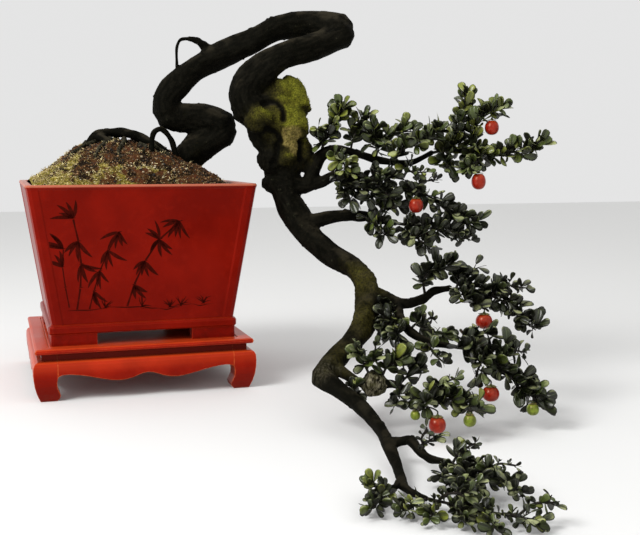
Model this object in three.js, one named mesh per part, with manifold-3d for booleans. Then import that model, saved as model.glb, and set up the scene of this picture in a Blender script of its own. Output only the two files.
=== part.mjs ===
// Chinese persimmon bonsai: an old cascading tree in a square red pot on a low red stand.
// Millimetres, Z up. The front of the pot faces -Y and the tree cascades towards +X.
// Places are worked out from the ground point under the middle of the stand, and the whole
// group is then moved so that its origin is under the middle of its own box.

import * as THREE from "three";
import { mergeVertices } from "three/addons/utils/BufferGeometryUtils.js";
import Module from "manifold-3d";

const wasm = await Module();
wasm.setup();

// Driving dimensions of the stand
const STAND_TOP = 87;
const STAND_SIDE = 365;
const RAIL_THICKNESS = 9;
const RAIL_WIDTH = 22.5;
const RABBET_WIDTH = 10;
const RABBET_DEPTH = 6;
const PANEL_DROP = 0.4;
const WAIST_SIDE = 344;
const WAIST_FOOT = 66.5;
const APRON_SIDE = 372;
const APRON_BACK = 332;
const LEG_INNER = 147;
const FIT = 0.3;

// Driving dimensions of the pot
const RIM_SIDE = 380;
const RIM_TOP = 354;
const BAND_SIDE = 318;
const BAND_FOOT = 106.5;
const BAND_TOP = 120.5;
const WALL_FOOT_SIDE = 309;
const WALL = 12;
const POT_FLOOR_TOP = 120;
const POT_FOOT_SIDE = 312;
const POT_FOOT_LENGTH = 76;
const POT_FOOT_WIDTH = 24;
const DRAIN_HOLE = 40;
const CORNER_RADIUS = 8;
const CORNER_POST = 18;
const PANEL_STEP = 1.2;

// Driving dimensions of the soil
const SOIL_FOOT = 122;
const SOIL_EDGE = 346;
const MOUND_HEIGHT = 70;
const MOUND_PEAK_X = -15;
const MOUND_POWER = 2.6;
const SCREEN_SIDE = 64;
const SCREEN_THICKNESS = 1;
const SCREEN_OPENING = 6;

// Driving dimensions of the tree
const CLEARANCE = 0.4;
const BARK_RELIEF = 0.06;
const TRUNK_SIDES = 10;
const LIMB_SIDES = 6;
const TWIG_SIDES = 5;
const LEAF_SPACING = 11;
const STALK_SPACING = 5;
const LEAF_WIDTH = 0.67;
const LEAF_WIDEST = 0.6;
const LEAF_THICKNESS = 1.3;
const LEAF_DROOP = 0.12;
const LEAF_GAP = 2;
const SPUR_LENGTH = 11;
const SPUR_STEP = 2;
const GROUND_GAP = 0.8;
const GOLDEN_ANGLE = THREE.MathUtils.degToRad(137.5);
const UP = new THREE.Vector3(0, 0, 1);
const LIGHT = new THREE.Vector3(-0.25, -0.65, 0.72);

function finish(color, roughness, metalness = 0) {
  return new THREE.MeshStandardMaterial({ color, roughness, metalness });
}

const redLacquer = finish(0xa8200f, 0.3);
const redGlaze = finish(0x8a150c, 0.28);
const darkBark = finish(0x1d1813, 0.9);
const grittySoil = finish(0x5a3a22, 1);
const blackPlastic = finish(0x141414, 0.6);
const glossyLeaf = finish(0x1e3318, 0.35);
const ripeFruit = finish(0xd22a12, 0.3);
const unripeFruit = finish(0x8a9a30, 0.35);

const bonsai = new THREE.Group();
const bodies = [];

function addBody(name, geometry, material) {
  const mesh = new THREE.Mesh(geometry, material);
  mesh.name = name;
  bonsai.add(mesh);
  bodies.push(mesh);
}

// Solids

function solidOf(geometry) {
  const bare = geometry.clone();
  bare.deleteAttribute("normal");
  bare.deleteAttribute("uv");
  const merged = mergeVertices(bare, 1e-4);
  const vertProperties = Float32Array.from(merged.attributes.position.array);
  const triVerts = Uint32Array.from(merged.index.array);
  return new wasm.Manifold(new wasm.Mesh({ numProp: 3, vertProperties, triVerts }));
}

function geometryOf(solid) {
  const mesh = solid.getMesh();
  const geometry = new THREE.BufferGeometry();
  geometry.setAttribute("position", new THREE.BufferAttribute(mesh.vertProperties, 3));
  geometry.setIndex(new THREE.BufferAttribute(mesh.triVerts, 1));
  return geometry;
}

function join(solids) {
  return solids.reduce((whole, solid) => whole.add(solid));
}

function largestPiece(solid) {
  const pieces = solid.decompose();
  return pieces.reduce((best, piece) => (piece.volume() > best.volume() ? piece : best));
}

function indexedGeometry(positions, index) {
  const geometry = new THREE.BufferGeometry();
  geometry.setAttribute("position", new THREE.Float32BufferAttribute(positions, 3));
  geometry.setIndex(index);
  return geometry;
}

// A closed body through rings of equal point counts. The rings turn counterclockwise
// seen from the last one, and both ends are capped flat.
function loft(rings) {
  const count = rings[0].length;
  const positions = rings.flat().flatMap((point) => [point.x, point.y, point.z]);
  const index = [];
  for (let ring = 0; ring + 1 < rings.length; ring += 1) {
    const low = ring * count;
    const high = low + count;
    for (let i = 0; i < count; i += 1) {
      const j = (i + 1) % count;
      index.push(low + i, low + j, high + j);
      index.push(low + i, high + j, high + i);
    }
  }
  const last = (rings.length - 1) * count;
  for (let i = 1; i + 1 < count; i += 1) {
    index.push(0, i + 1, i);
    index.push(last, last + i, last + i + 1);
  }
  return indexedGeometry(positions, index);
}

// An outline drawn across X and up Z, given a depth along Y
function plateAcrossX(outline, yFrom, yTo) {
  const shape = new THREE.Shape(outline.map(([x, z]) => new THREE.Vector2(x, z)));
  const plate = new THREE.ExtrudeGeometry(shape, { depth: yTo - yFrom, bevelEnabled: false });
  plate.rotateX(Math.PI / 2);
  plate.translate(0, yTo, 0);
  return plate;
}

// An outline drawn across Y and up Z, given a length along X
function plateAcrossY(outline, xFrom, xTo) {
  const plate = plateAcrossX(outline, -xTo, -xFrom);
  plate.rotateZ(Math.PI / 2);
  return plate;
}

function turned(geometry, quarterTurns) {
  return geometry.clone().rotateZ((quarterTurns * Math.PI) / 2);
}

const SIDES = ["front", "right", "back", "left"];

// Stand: four mitred rails with a floating panel, four aprons with the waist above, four legs

function standRail() {
  const outer = STAND_SIDE / 2;
  const inner = outer - RAIL_WIDTH;
  const underside = STAND_TOP - RAIL_THICKNESS;
  const section = [
    [outer, STAND_TOP - 4.5],
    [outer - 1.4, underside + 1.2],
    [outer - 4, underside],
    [inner - RABBET_WIDTH, underside],
    [inner - RABBET_WIDTH, STAND_TOP - RABBET_DEPTH],
    [inner, STAND_TOP - RABBET_DEPTH],
    [inner, STAND_TOP],
    [outer - 3.8, STAND_TOP],
    [outer - 1, STAND_TOP - 1.4],
  ];
  const profile = solidOf(plateAcrossY(section.map(([y, z]) => [-y, z]), -outer, outer));
  const corners = [[0, -FIT], [outer + 5, -outer - 5 - FIT], [-outer - 5, -outer - 5 - FIT]];
  const quarter = new THREE.Shape(corners.map(([x, y]) => new THREE.Vector2(x, y)));
  const wedge = new THREE.ExtrudeGeometry(quarter, { depth: STAND_TOP + 5, bevelEnabled: false });
  return geometryOf(profile.intersect(solidOf(wedge)));
}

function squareRing(half, z) {
  return [[-1, -1], [1, -1], [1, 1], [-1, 1]].map(([x, y]) => new THREE.Vector3(x * half, y * half, z));
}

function standPanel() {
  const half = STAND_SIDE / 2 - RAIL_WIDTH - FIT;
  const foot = STAND_TOP - RABBET_DEPTH + FIT;
  const top = STAND_TOP - PANEL_DROP;
  return loft([squareRing(half, foot), squareRing(half, top - 1.6), squareRing(half - 2, top)]);
}

// The face that waist, apron and leg share, from the rail down to the foot
const APRON_PROFILE = [
  [WAIST_SIDE / 2, STAND_TOP - RAIL_THICKNESS - FIT],
  [WAIST_SIDE / 2, WAIST_FOOT],
  [WAIST_SIDE / 2 + 6, WAIST_FOOT - 0.3],
  [APRON_SIDE / 2 - 3, WAIST_FOOT - 2.7],
  [APRON_SIDE / 2 - 0.6, WAIST_FOOT - 7.5],
  [APRON_SIDE / 2, WAIST_FOOT - 16],
];

function standApron() {
  const top = STAND_TOP - RAIL_THICKNESS - FIT;
  const end = LEG_INNER - FIT;
  const halfEdge = [[0, 41], [10, 39.5], [19, 36], [30, 32.2], [45, 30.3], [58, 31], [78, 35], [98, 40], [115, 43.3]];
  const corner = [[128, 44.8], [137, 44.8], [143.5, 43.3], [end, 41]];
  const rightEdge = new THREE.SplineCurve([...halfEdge, ...corner].map(([x, z]) => new THREE.Vector2(x, z)));
  const right = rightEdge.getPoints(14).map(({ x, y }) => [x, y]);
  const left = right.slice(1).reverse().map(([x, z]) => [-x, z]);
  const face = solidOf(plateAcrossX([...left, ...right, [end, top], [-end, top]], -APRON_SIDE, 0));
  const back = APRON_BACK / 2;
  const section = [
    ...APRON_PROFILE.map(([y, z]) => [-y, z]),
    [-APRON_SIDE / 2 + 1, 28],
    [-back, 28],
    [-back, 60],
    [-back + 10, 62],
    [-back + 10, top],
  ];
  const profile = solidOf(plateAcrossY(section, -end, end));
  return geometryOf(face.intersect(profile));
}

function standLeg() {
  const outer = [
    ...APRON_PROFILE,
    [APRON_SIDE / 2 - 0.4, 38],
    [APRON_SIDE / 2 - 2, 26],
    [APRON_SIDE / 2 - 5.5, 13],
    [APRON_SIDE / 2 - 9.5, 3],
    [APRON_SIDE / 2 - 11, 0],
  ];
  const inner = [
    [LEG_INNER + 1.5, 0],
    [LEG_INNER - 2.5, 4],
    [LEG_INNER - 4, 10],
    [LEG_INNER - 1.5, 16],
    [LEG_INNER + 1.2, 23],
    [LEG_INNER + 1.6, 32],
    [LEG_INNER, 40],
    [LEG_INNER, STAND_TOP - RAIL_THICKNESS - FIT],
  ];
  const outline = [...outer, ...inner];
  const across = solidOf(plateAcrossX(outline, -APRON_SIDE, 0));
  const mirrored = outline.map(([x, z]) => [-x, z]);
  const along = solidOf(plateAcrossY(mirrored, 0, APRON_SIDE));
  return geometryOf(across.intersect(along));
}

const rail = standRail();
const apron = standApron();
const leg = standLeg();
SIDES.forEach((side, turn) => {
  addBody(`stand_rail_${side}`, turned(rail, turn), redLacquer);
  addBody(`stand_apron_${side}`, turned(apron, turn), redLacquer);
});
["front_right", "back_right", "back_left", "front_left"].forEach((corner, turn) => {
  addBody(`stand_leg_${corner}`, turned(leg, turn), redLacquer);
});
addBody("stand_panel", standPanel(), redLacquer);

// Pot: tapered square wall with rounded corner posts round slightly sunk panels

function potRing(half, z, step) {
  const points = [];
  for (let turn = 0; turn < 4; turn += 1) {
    const quarter = (turn * Math.PI) / 2;
    const corner = [
      [half - CORNER_POST - 3, -(half - step)],
      [half - CORNER_POST, -half],
    ];
    for (let i = 0; i <= 2; i += 1) {
      const angle = -Math.PI / 2 + (i / 2) * (Math.PI / 2);
      const centre = half - CORNER_RADIUS;
      corner.push([centre + CORNER_RADIUS * Math.cos(angle), -centre + CORNER_RADIUS * Math.sin(angle)]);
    }
    corner.push([half, -(half - CORNER_POST)]);
    corner.push([half - step, -(half - CORNER_POST - 3)]);
    for (const [x, y] of corner) {
      points.push(new THREE.Vector3(x, y, z).applyAxisAngle(UP, quarter));
    }
  }
  return points;
}

const POT_SLOPE = (RIM_SIDE - WALL_FOOT_SIDE) / 2 / (RIM_TOP - BAND_TOP);

function potInnerHalf(z) {
  return WALL_FOOT_SIDE / 2 + POT_SLOPE * (z - BAND_TOP) - WALL;
}

// The inside of the wall as an evenly spaced ring, so the soil can follow it
function innerRing(half, z) {
  const points = [];
  const radius = 10;
  const straight = half - radius;
  for (let turn = 0; turn < 4; turn += 1) {
    const side = [];
    for (let i = 0; i < 4; i += 1) {
      side.push([straight * (-1 + (i / 4) * 2), -half]);
    }
    for (let i = 0; i < 2; i += 1) {
      const angle = -Math.PI / 2 + (i / 2) * (Math.PI / 2);
      side.push([straight + radius * Math.cos(angle), -straight + radius * Math.sin(angle)]);
    }
    for (const [x, y] of side) {
      points.push(new THREE.Vector3(x, y, z).applyAxisAngle(UP, (turn * Math.PI) / 2));
    }
  }
  return points;
}

function potFoot() {
  const outer = POT_FOOT_SIDE / 2;
  const inner = outer - POT_FOOT_LENGTH;
  const shoulder = outer - POT_FOOT_WIDTH;
  const outline = [
    [inner, -outer],
    [outer - 5, -outer],
    [outer - 1.5, -outer + 1.5],
    [outer, -outer + 5],
    [outer, -inner],
    [shoulder, -inner],
    [shoulder, -shoulder],
    [inner, -shoulder],
  ];
  const shape = new THREE.Shape(outline.map(([x, y]) => new THREE.Vector2(x, y)));
  const foot = STAND_TOP - PANEL_DROP + FIT;
  const block = new THREE.ExtrudeGeometry(shape, { depth: BAND_FOOT + 2 - foot, bevelEnabled: false });
  return block.translate(0, 0, foot);
}

function pot() {
  const band = BAND_SIDE / 2;
  const wallFoot = WALL_FOOT_SIDE / 2;
  const rim = RIM_SIDE / 2;
  const outside = solidOf(loft([
    potRing(band - 1.8, BAND_FOOT, 0),
    potRing(band, BAND_FOOT + 2.5, 0),
    potRing(band, BAND_TOP - 3, 0),
    potRing(band - 2, BAND_TOP, 0),
    potRing(wallFoot, BAND_TOP + 0.6, PANEL_STEP),
    potRing(rim - 1.4, RIM_TOP - 8, PANEL_STEP),
    potRing(rim - 0.3, RIM_TOP - 5, 0),
    potRing(rim, RIM_TOP - 2.5, 0),
    potRing(rim - 1.5, RIM_TOP, 0),
  ]));
  const inside = solidOf(loft([
    innerRing(potInnerHalf(POT_FLOOR_TOP), POT_FLOOR_TOP),
    innerRing(potInnerHalf(RIM_TOP - 1.5), RIM_TOP - 1.5),
    innerRing(potInnerHalf(RIM_TOP) + 2, RIM_TOP + 1),
  ]));
  const drain = new THREE.CylinderGeometry(DRAIN_HOLE / 2, DRAIN_HOLE / 2, 60, 20);
  drain.rotateX(Math.PI / 2).translate(0, 0, POT_FLOOR_TOP);
  const feet = [0, 1, 2, 3].map((turn) => solidOf(turned(potFoot(), turn)));
  return geometryOf(join([outside.subtract(inside), ...feet]).subtract(solidOf(drain)));
}

addBody("pot", pot(), redGlaze);

// A perforated screen over the drain hole keeps the soil in
function drainScreen() {
  const block = (width, height) => new THREE.BoxGeometry(width, width, height);
  const plate = solidOf(block(SCREEN_SIDE, SCREEN_THICKNESS));
  const opening = block(SCREEN_OPENING, 2 * SCREEN_THICKNESS);
  const pitch = 2 * SCREEN_OPENING;
  const places = [[0, 0], [-pitch, 0], [pitch, 0], [0, -pitch], [0, pitch]];
  const openings = places.map(([x, y]) => solidOf(opening.clone().translate(x, y, 0)));
  const screen = geometryOf(plate.subtract(join(openings)));
  return screen.translate(0, 0, POT_FLOOR_TOP + FIT + SCREEN_THICKNESS / 2);
}

addBody("drain_screen", drainScreen(), blackPlastic);

// Wood: the trunk with its bends, the burl, roots, bare branches and a dead shoot, grown as one.
// Each stop is [x, y, z, radius], and the places were chosen by hand from the photograph.

function radiusAt(stops, t) {
  const place = t * (stops.length - 1);
  const low = Math.min(Math.floor(place), stops.length - 2);
  const blend = place - low;
  return stops[low][3] * (1 - blend) + stops[low + 1][3] * blend;
}

function perpendicularTo(direction) {
  const helper = Math.abs(direction.z) < 0.9 ? UP : new THREE.Vector3(1, 0, 0);
  return new THREE.Vector3().crossVectors(direction, helper).normalize();
}

function pathThrough(stops) {
  const places = stops.map(([x, y, z]) => new THREE.Vector3(x, y, z));
  return new THREE.CatmullRomCurve3(places, false, "centripetal");
}

// A tapered limb with domed ends and the slow swellings of old bark
function limb(stops, { sides, steps, relief = 0, grow = 0 }) {
  const path = pathThrough(stops);
  const count = (stops.length - 1) * steps;
  const rings = [];
  let across = null;
  const addRing = (centre, along, radius, turn) => {
    const side = new THREE.Vector3().crossVectors(along, across);
    const ring = [];
    for (let i = 0; i < sides; i += 1) {
      const angle = (i / sides) * 2 * Math.PI;
      const swelling = Math.sin(2 * angle + 1.3 * turn) + Math.sin(3 * angle - 0.9 * turn);
      const reach = radius * (1 + relief * swelling) + grow;
      const offset = across.clone().multiplyScalar(Math.cos(angle) * reach);
      ring.push(offset.addScaledVector(side, Math.sin(angle) * reach).add(centre));
    }
    rings.push(ring);
  };
  for (let step = 0; step <= count; step += 1) {
    const t = step / count;
    const centre = path.getPoint(t);
    const along = path.getTangent(t);
    const radius = radiusAt(stops, t);
    across = across ? across.clone().addScaledVector(along, -across.dot(along)).normalize() : perpendicularTo(along);
    if (step === 0) {
      addRing(centre.clone().addScaledVector(along, -0.6 * radius), along, 0.55 * radius, step);
    }
    addRing(centre, along, radius, step);
    if (step === count) {
      addRing(centre.clone().addScaledVector(along, 0.6 * radius), along, 0.55 * radius, step);
    }
  }
  return solidOf(loft(rings));
}

// A rounded swelling of the wood
function swelling([x, y, z], [halfX, halfY, halfZ], grow) {
  const ball = new THREE.SphereGeometry(1, 9, 6);
  const place = ball.attributes.position;
  for (let i = 0; i < place.count; i += 1) {
    const point = new THREE.Vector3().fromBufferAttribute(place, i);
    const lumps = 1 + 0.07 * (Math.sin(4 * point.x + 3 * point.z) + Math.sin(5 * point.y - 4 * point.z));
    place.setXYZ(
      i,
      x + point.x * (halfX * lumps + grow),
      y + point.y * (halfY * lumps + grow),
      z + point.z * (halfZ * lumps + grow),
    );
  }
  return solidOf(ball);
}

const TRUNK_BASE = [[40, 10, 260, 16], [62, -15, 305, 24], [84, -36, 350, 32], [98, -44, 398, 28], [128, -58, 424, 27], [160, -68, 446, 29]];
const FIRST_LOOP = [[158, -67, 450, 29], [134, -58, 466, 26], [104, -47, 468, 25], [78, -40, 468, 27], [64, -38, 476, 28]];
const RISING_LIMB = [
  [64, -38, 478, 28], [62, -41, 500, 24], [79, -44, 524, 23], [108, -50, 552, 22], [151, -61, 576, 23],
  [203, -75, 599, 22], [258, -89, 627, 22], [312, -112, 632, 24], [355, -146, 622, 27],
];
const RETURN_LIMB = [
  [354, -152, 612, 27], [322, -157, 597, 23], [284, -156, 584, 22], [242, -146, 569, 24],
  [202, -138, 538, 28], [184, -136, 505, 33], [194, -136, 478, 37],
];
const CASCADE = [
  [228, -134, 462, 42], [244, -142, 415, 38], [250, -139, 370, 31], [253, -151, 327, 24], [265, -170, 292, 24],
  [284, -196, 258, 22], [310, -227, 232, 19], [335, -260, 214, 18], [344, -295, 192, 19], [334, -337, 160, 19],
  [308, -381, 131, 19], [272, -415, 109, 16], [242, -436, 92, 16], [217, -455, 77, 17],
];
const TAIL = [
  [217, -455, 76, 17], [230, -491, 64, 13], [245, -523, 51, 11], [252, -569, 40, 10], [250, -617, 33, 9],
  [242, -663, 24, 8.5], [236, -699, 17, 8], [225, -744, 12, 6.5], [217, -775, 9, 5.5],
];
const BURL = { centre: [240, -138, 457], size: [50, 44, 60] };
const BURL_SHOULDER = { centre: [263, -140, 496], size: [30, 28, 40] };
const BURL_KNOB = { centre: [228, -150, 398], size: [26, 26, 28] };
const BURL_HEEL = { centre: [232, -143, 356], size: [20, 20, 22] };
const STUB_BURL = { centre: [283, -502, 71], size: [20, 18, 19] };

const ROOTS = [
  [[-110, 25, 385, 5], [-82, 15, 408, 7], [-55, 10, 438, 8], [-22, 0, 442, 8], [10, -10, 437, 8], [32, -25, 424, 8], [62, -40, 400, 10], [85, -42, 375, 10]],
  [[-55, 8, 436, 8], [-42, -22, 425, 7], [-30, -52, 402, 6], [-24, -72, 378, 5]],
  [[22, -76, 385, 5], [28, -72, 412, 4.5], [33, -70, 440, 4.5], [46, -74, 447, 4.5], [61, -75, 431, 4.5], [71, -74, 402, 5], [76, -66, 380, 6]],
  [[92, -40, 370, 14], [112, 20, 352, 11], [126, 78, 322, 7], [120, 120, 290, 4]],
  [[84, -30, 345, 14], [10, 40, 322, 9], [-70, 80, 290, 5]],
];
const DEAD_SHOOT = [
  [[146, -58, 584, 9], [126, -60, 594, 7.5], [113, -60, 603, 5.5], [100, -56, 606, 4]],
  [[102, -56, 606, 3.4], [86, -55, 604, 2.6], [79, -55, 590, 2.4], [79, -52, 562, 2.4], [82, -46, 538, 3]],
];
const BRANCHES = [
  [[256, -148, 357, 17], [284, -162, 349, 14], [296, -168, 376, 12], [307, -174, 400, 10.5], [328, -185, 411, 9], [362, -197, 405, 7], [403, -212, 393, 6], [449, -227, 388, 5], [489, -238, 406, 4]],
  [[284, -162, 350, 12], [306, -174, 354, 10.5], [329, -185, 366, 9.5], [357, -195, 362, 8.5], [393, -214, 348, 6.5], [424, -230, 337, 5]],
  [[268, -174, 275, 17], [300, -188, 290, 13], [340, -205, 298, 10.5], [370, -216, 297, 8.5], [396, -231, 291, 6.5], [420, -244, 286, 5]],
  [[340, -305, 178, 16], [368, -327, 169, 11.5], [386, -344, 162, 9.5], [402, -360, 164, 8], [417, -374, 173, 7], [430, -387, 186, 6], [451, -399, 191, 4.5]],
  [[384, -344, 161, 9], [370, -388, 145, 7.5], [371, -428, 129, 6.5], [387, -464, 119, 5.5], [409, -489, 116, 4.2]],
  [[238, -438, 88, 11], [252, -468, 78, 8], [266, -491, 70, 7], [283, -502, 68, 7], [301, -517, 72, 5.5], [320, -530, 66, 4.5], [338, -542, 61, 3.6]],
  [[245, -650, 27, 8], [257, -667, 32, 6.5], [265, -681, 37, 6.5], [265, -706, 31, 5.8], [269, -731, 27, 5], [277, -758, 30, 3.6]],
  [[218, -770, 9, 5], [218, -800, 10, 4], [224, -823, 11, 3]],
  [[222, -752, 12, 5], [206, -775, 12, 3.8], [194, -783, 13, 3]],
];

function wood(grow) {
  const thick = { sides: TRUNK_SIDES, steps: 2, relief: BARK_RELIEF, grow };
  const thin = { sides: LIMB_SIDES, steps: 1, relief: 0.5 * BARK_RELIEF, grow };
  const twig = { sides: TWIG_SIDES, steps: 1, grow };
  return join([
    limb(TRUNK_BASE, thick),
    limb(FIRST_LOOP, thick),
    limb(RISING_LIMB, thick),
    limb(RETURN_LIMB, thick),
    limb(CASCADE, { ...thick, sides: TRUNK_SIDES - 1 }),
    limb(TAIL, { ...thick, sides: TRUNK_SIDES - 3 }),
    swelling(BURL.centre, BURL.size, grow),
    swelling(BURL_SHOULDER.centre, BURL_SHOULDER.size, grow),
    swelling(BURL_KNOB.centre, BURL_KNOB.size, grow),
    swelling(BURL_HEEL.centre, BURL_HEEL.size, grow),
    swelling(STUB_BURL.centre, STUB_BURL.size, grow),
    ...ROOTS.map((stops) => limb(stops, twig)),
    ...DEAD_SHOOT.map((stops) => limb(stops, twig)),
    ...BRANCHES.map((stops) => limb(stops, thin)),
  ]);
}

const clearedWood = wood(CLEARANCE);
addBody("trunk", geometryOf(wood(0)), darkBark);

// Soil: fills the pot and is heaped over its rim, with plain holes for the roots

function moundTop(x, y) {
  const reach = potInnerHalf(SOIL_EDGE);
  const alongX = Math.min(1, Math.abs(x - MOUND_PEAK_X) / (reach - 3));
  const alongY = Math.min(1, Math.abs(y) / (reach - 3));
  const dome = (1 - alongX ** MOUND_POWER) * (1 - alongY ** MOUND_POWER);
  const grit = 2 * Math.sin(x / 17 + 1) * Math.cos(y / 13) + 1.5 * Math.sin(x / 9 - y / 11);
  return SOIL_EDGE + MOUND_HEIGHT * dome + grit * dome;
}

function soil() {
  const edge = potInnerHalf(SOIL_EDGE) - CLEARANCE;
  const rings = [innerRing(potInnerHalf(SOIL_FOOT) - CLEARANCE, SOIL_FOOT), innerRing(edge, SOIL_EDGE)];
  for (const share of [0.92, 0.8, 0.65, 0.48, 0.3, 0.1]) {
    const ring = innerRing(edge, SOIL_EDGE);
    rings.push(ring.map(({ x, y }) => new THREE.Vector3(share * x, share * y, moundTop(share * x, share * y))));
  }
  return geometryOf(largestPiece(solidOf(loft(rings)).subtract(clearedWood)));
}

addBody("soil", soil(), grittySoil);

// Foliage: each leafy stem is one body of four-sided shoots, and every leaf, side shoot and
// fruit stalk grows out of one side of a shoot, so they share its surface.

function distanceToSegment(point, from, to) {
  const span = to.clone().sub(from);
  const share = THREE.MathUtils.clamp(point.clone().sub(from).dot(span) / span.lengthSq(), 0, 1);
  return point.distanceTo(from.clone().addScaledVector(span, share));
}

// What a leaf has to stay clear of: round stretches of wood, shoots and fruit
const obstacles = [];

function addObstacle(from, to, radius, owner = null) {
  obstacles.push({ from, to, radius, owner, middle: from.clone().lerp(to, 0.5), reach: radius + 0.5 * from.distanceTo(to) });
}

function addLimbObstacles(stops) {
  const path = pathThrough(stops);
  const count = (stops.length - 1) * 2;
  for (let step = 0; step < count; step += 1) {
    const radius = radiusAt(stops, (step + 0.5) / count) * (1 + 2 * BARK_RELIEF);
    addObstacle(path.getPoint(step / count), path.getPoint((step + 1) / count), radius + CLEARANCE);
  }
}

for (const stops of [TRUNK_BASE, FIRST_LOOP, RISING_LIMB, RETURN_LIMB, CASCADE, TAIL, ...ROOTS, ...BRANCHES]) {
  addLimbObstacles(stops);
}
for (const { centre, size } of [BURL, BURL_SHOULDER, BURL_KNOB, BURL_HEEL, STUB_BURL]) {
  const place = new THREE.Vector3(...centre);
  addObstacle(place, place.clone().addScaledVector(UP, 0.1), Math.max(...size) * 1.1);
}

// A blade is a thin lens, flat below and raised along its middle, widest past half its length
function bladeShape({ corners, root, direction, face, length }) {
  const side = new THREE.Vector3().crossVectors(face, direction).normalize();
  const at = (along, across) => root.clone()
    .addScaledVector(direction, along * length)
    .addScaledVector(side, across * length)
    .addScaledVector(face, -LEAF_DROOP * along * along * length);
  const rim = [at(LEAF_WIDEST, -LEAF_WIDTH / 2), at(1, 0), at(LEAF_WIDEST, LEAF_WIDTH / 2)];
  const middle = at(LEAF_WIDEST, 0).addScaledVector(face, LEAF_THICKNESS);
  return { corners, rim, middle, reach: 0.65 * length };
}

function triangleDistance(point, a, b, c) {
  const nearest = new THREE.Triangle(a, b, c).closestPointToPoint(point, new THREE.Vector3());
  return nearest.distanceTo(point);
}

function bladeTriangles({ corners: [a, b, c, d], rim: [left, tip, right], middle }) {
  const above = [[d, left], [left, tip], [tip, right], [right, c], [c, d]];
  const below = [[a, b, right], [a, right, left], [right, tip, left], [a, left, d], [b, c, right]];
  return [...above.map(([from, to]) => [from, to, middle]), ...below];
}

function edgeMeetsTriangle(from, to, [a, b, c], skipped = 0) {
  const span = to.clone().sub(from);
  const ray = new THREE.Ray(from, span.clone().normalize());
  const hit = ray.intersectTriangle(a, b, c, false, new THREE.Vector3());
  return hit !== null && hit.distanceTo(from) <= span.length() && hit.distanceTo(from) >= skipped;
}

function bladesMeet(one, other) {
  const samples = (blade) => [...blade.rim, blade.middle];
  const near = (blade, triangles) => samples(blade).some(
    (point) => triangles.some(([a, b, c]) => triangleDistance(point, a, b, c) < LEAF_GAP),
  );
  // Neighbours on one shoot share a corner, so a meeting right at that corner doesn't count
  const shared = one.corners.some((corner) => other.corners.some((place) => place.distanceTo(corner) < 0.01));
  const cuts = (blade, triangles) => {
    const { corners: [a, b, c, d], rim: [left, tip, right] } = blade;
    const edges = [[a, left], [d, left], [left, tip], [tip, right], [right, b], [right, c], [left, right]];
    return edges.some(([from, to]) => triangles.some(
      (triangle) => edgeMeetsTriangle(from, to, triangle, shared ? 0.5 : 0),
    ));
  };
  const ours = bladeTriangles(one);
  const theirs = bladeTriangles(other);
  return near(one, theirs) || near(other, ours) || cuts(one, theirs) || cuts(other, ours);
}

function ballRound(points) {
  return new THREE.Sphere().setFromPoints(points);
}

// Whether two faces of a stem cut through each other. Faces that share an edge never do.
function facesCross(one, other, placeOf) {
  const shared = one.filter((corner) => other.includes(corner));
  const cuts = (face, target) => [[0, 1], [1, 2], [2, 0]].some(([i, j]) => {
    const apart = !shared.includes(face[i]) && !shared.includes(face[j]);
    return apart && edgeMeetsTriangle(placeOf(face[i]), placeOf(face[j]), target.map(placeOf));
  });
  return shared.length < 2 && (cuts(one, other) || cuts(other, one));
}

const blades = [];

function isKin(one, other) {
  return one === other || one.parent === other || other.parent === one;
}

function bladeIsClear(blade, ownShoot) {
  const points = [...blade.rim, blade.middle];
  const lowest = Math.min(...blade.rim.map(({ z }) => z));
  if (lowest < GROUND_GAP) {
    return false;
  }
  const triangles = bladeTriangles(blade);
  const between = triangles.flatMap(([a, b, c]) => [a.clone().lerp(b, 0.5), a.clone().lerp(c, 0.5)]);
  for (const { from, to, radius, owner, middle, reach } of obstacles) {
    if (middle.distanceTo(blade.middle) > reach + blade.reach + 2) {
      continue;
    }
    const own = owner !== null && isKin(owner, ownShoot);
    if (points.some((point) => distanceToSegment(point, from, to) < radius + (own ? 0.3 : 1))) {
      return false;
    }
    const through = ([a, b, c]) => edgeMeetsTriangle(from, to, [a, b, c])
      || [from, middle, to].some((point) => triangleDistance(point, a, b, c) < radius + 0.5);
    const beside = (point) => distanceToSegment(point, from, to) < radius + 0.5;
    if (!own && (triangles.some(through) || between.some(beside))) {
      return false;
    }
  }
  return blades.every((other) => {
    const apart = other.middle.distanceTo(blade.middle) > other.reach + blade.reach + LEAF_GAP;
    return apart || !bladesMeet(blade, other);
  });
}

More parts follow.
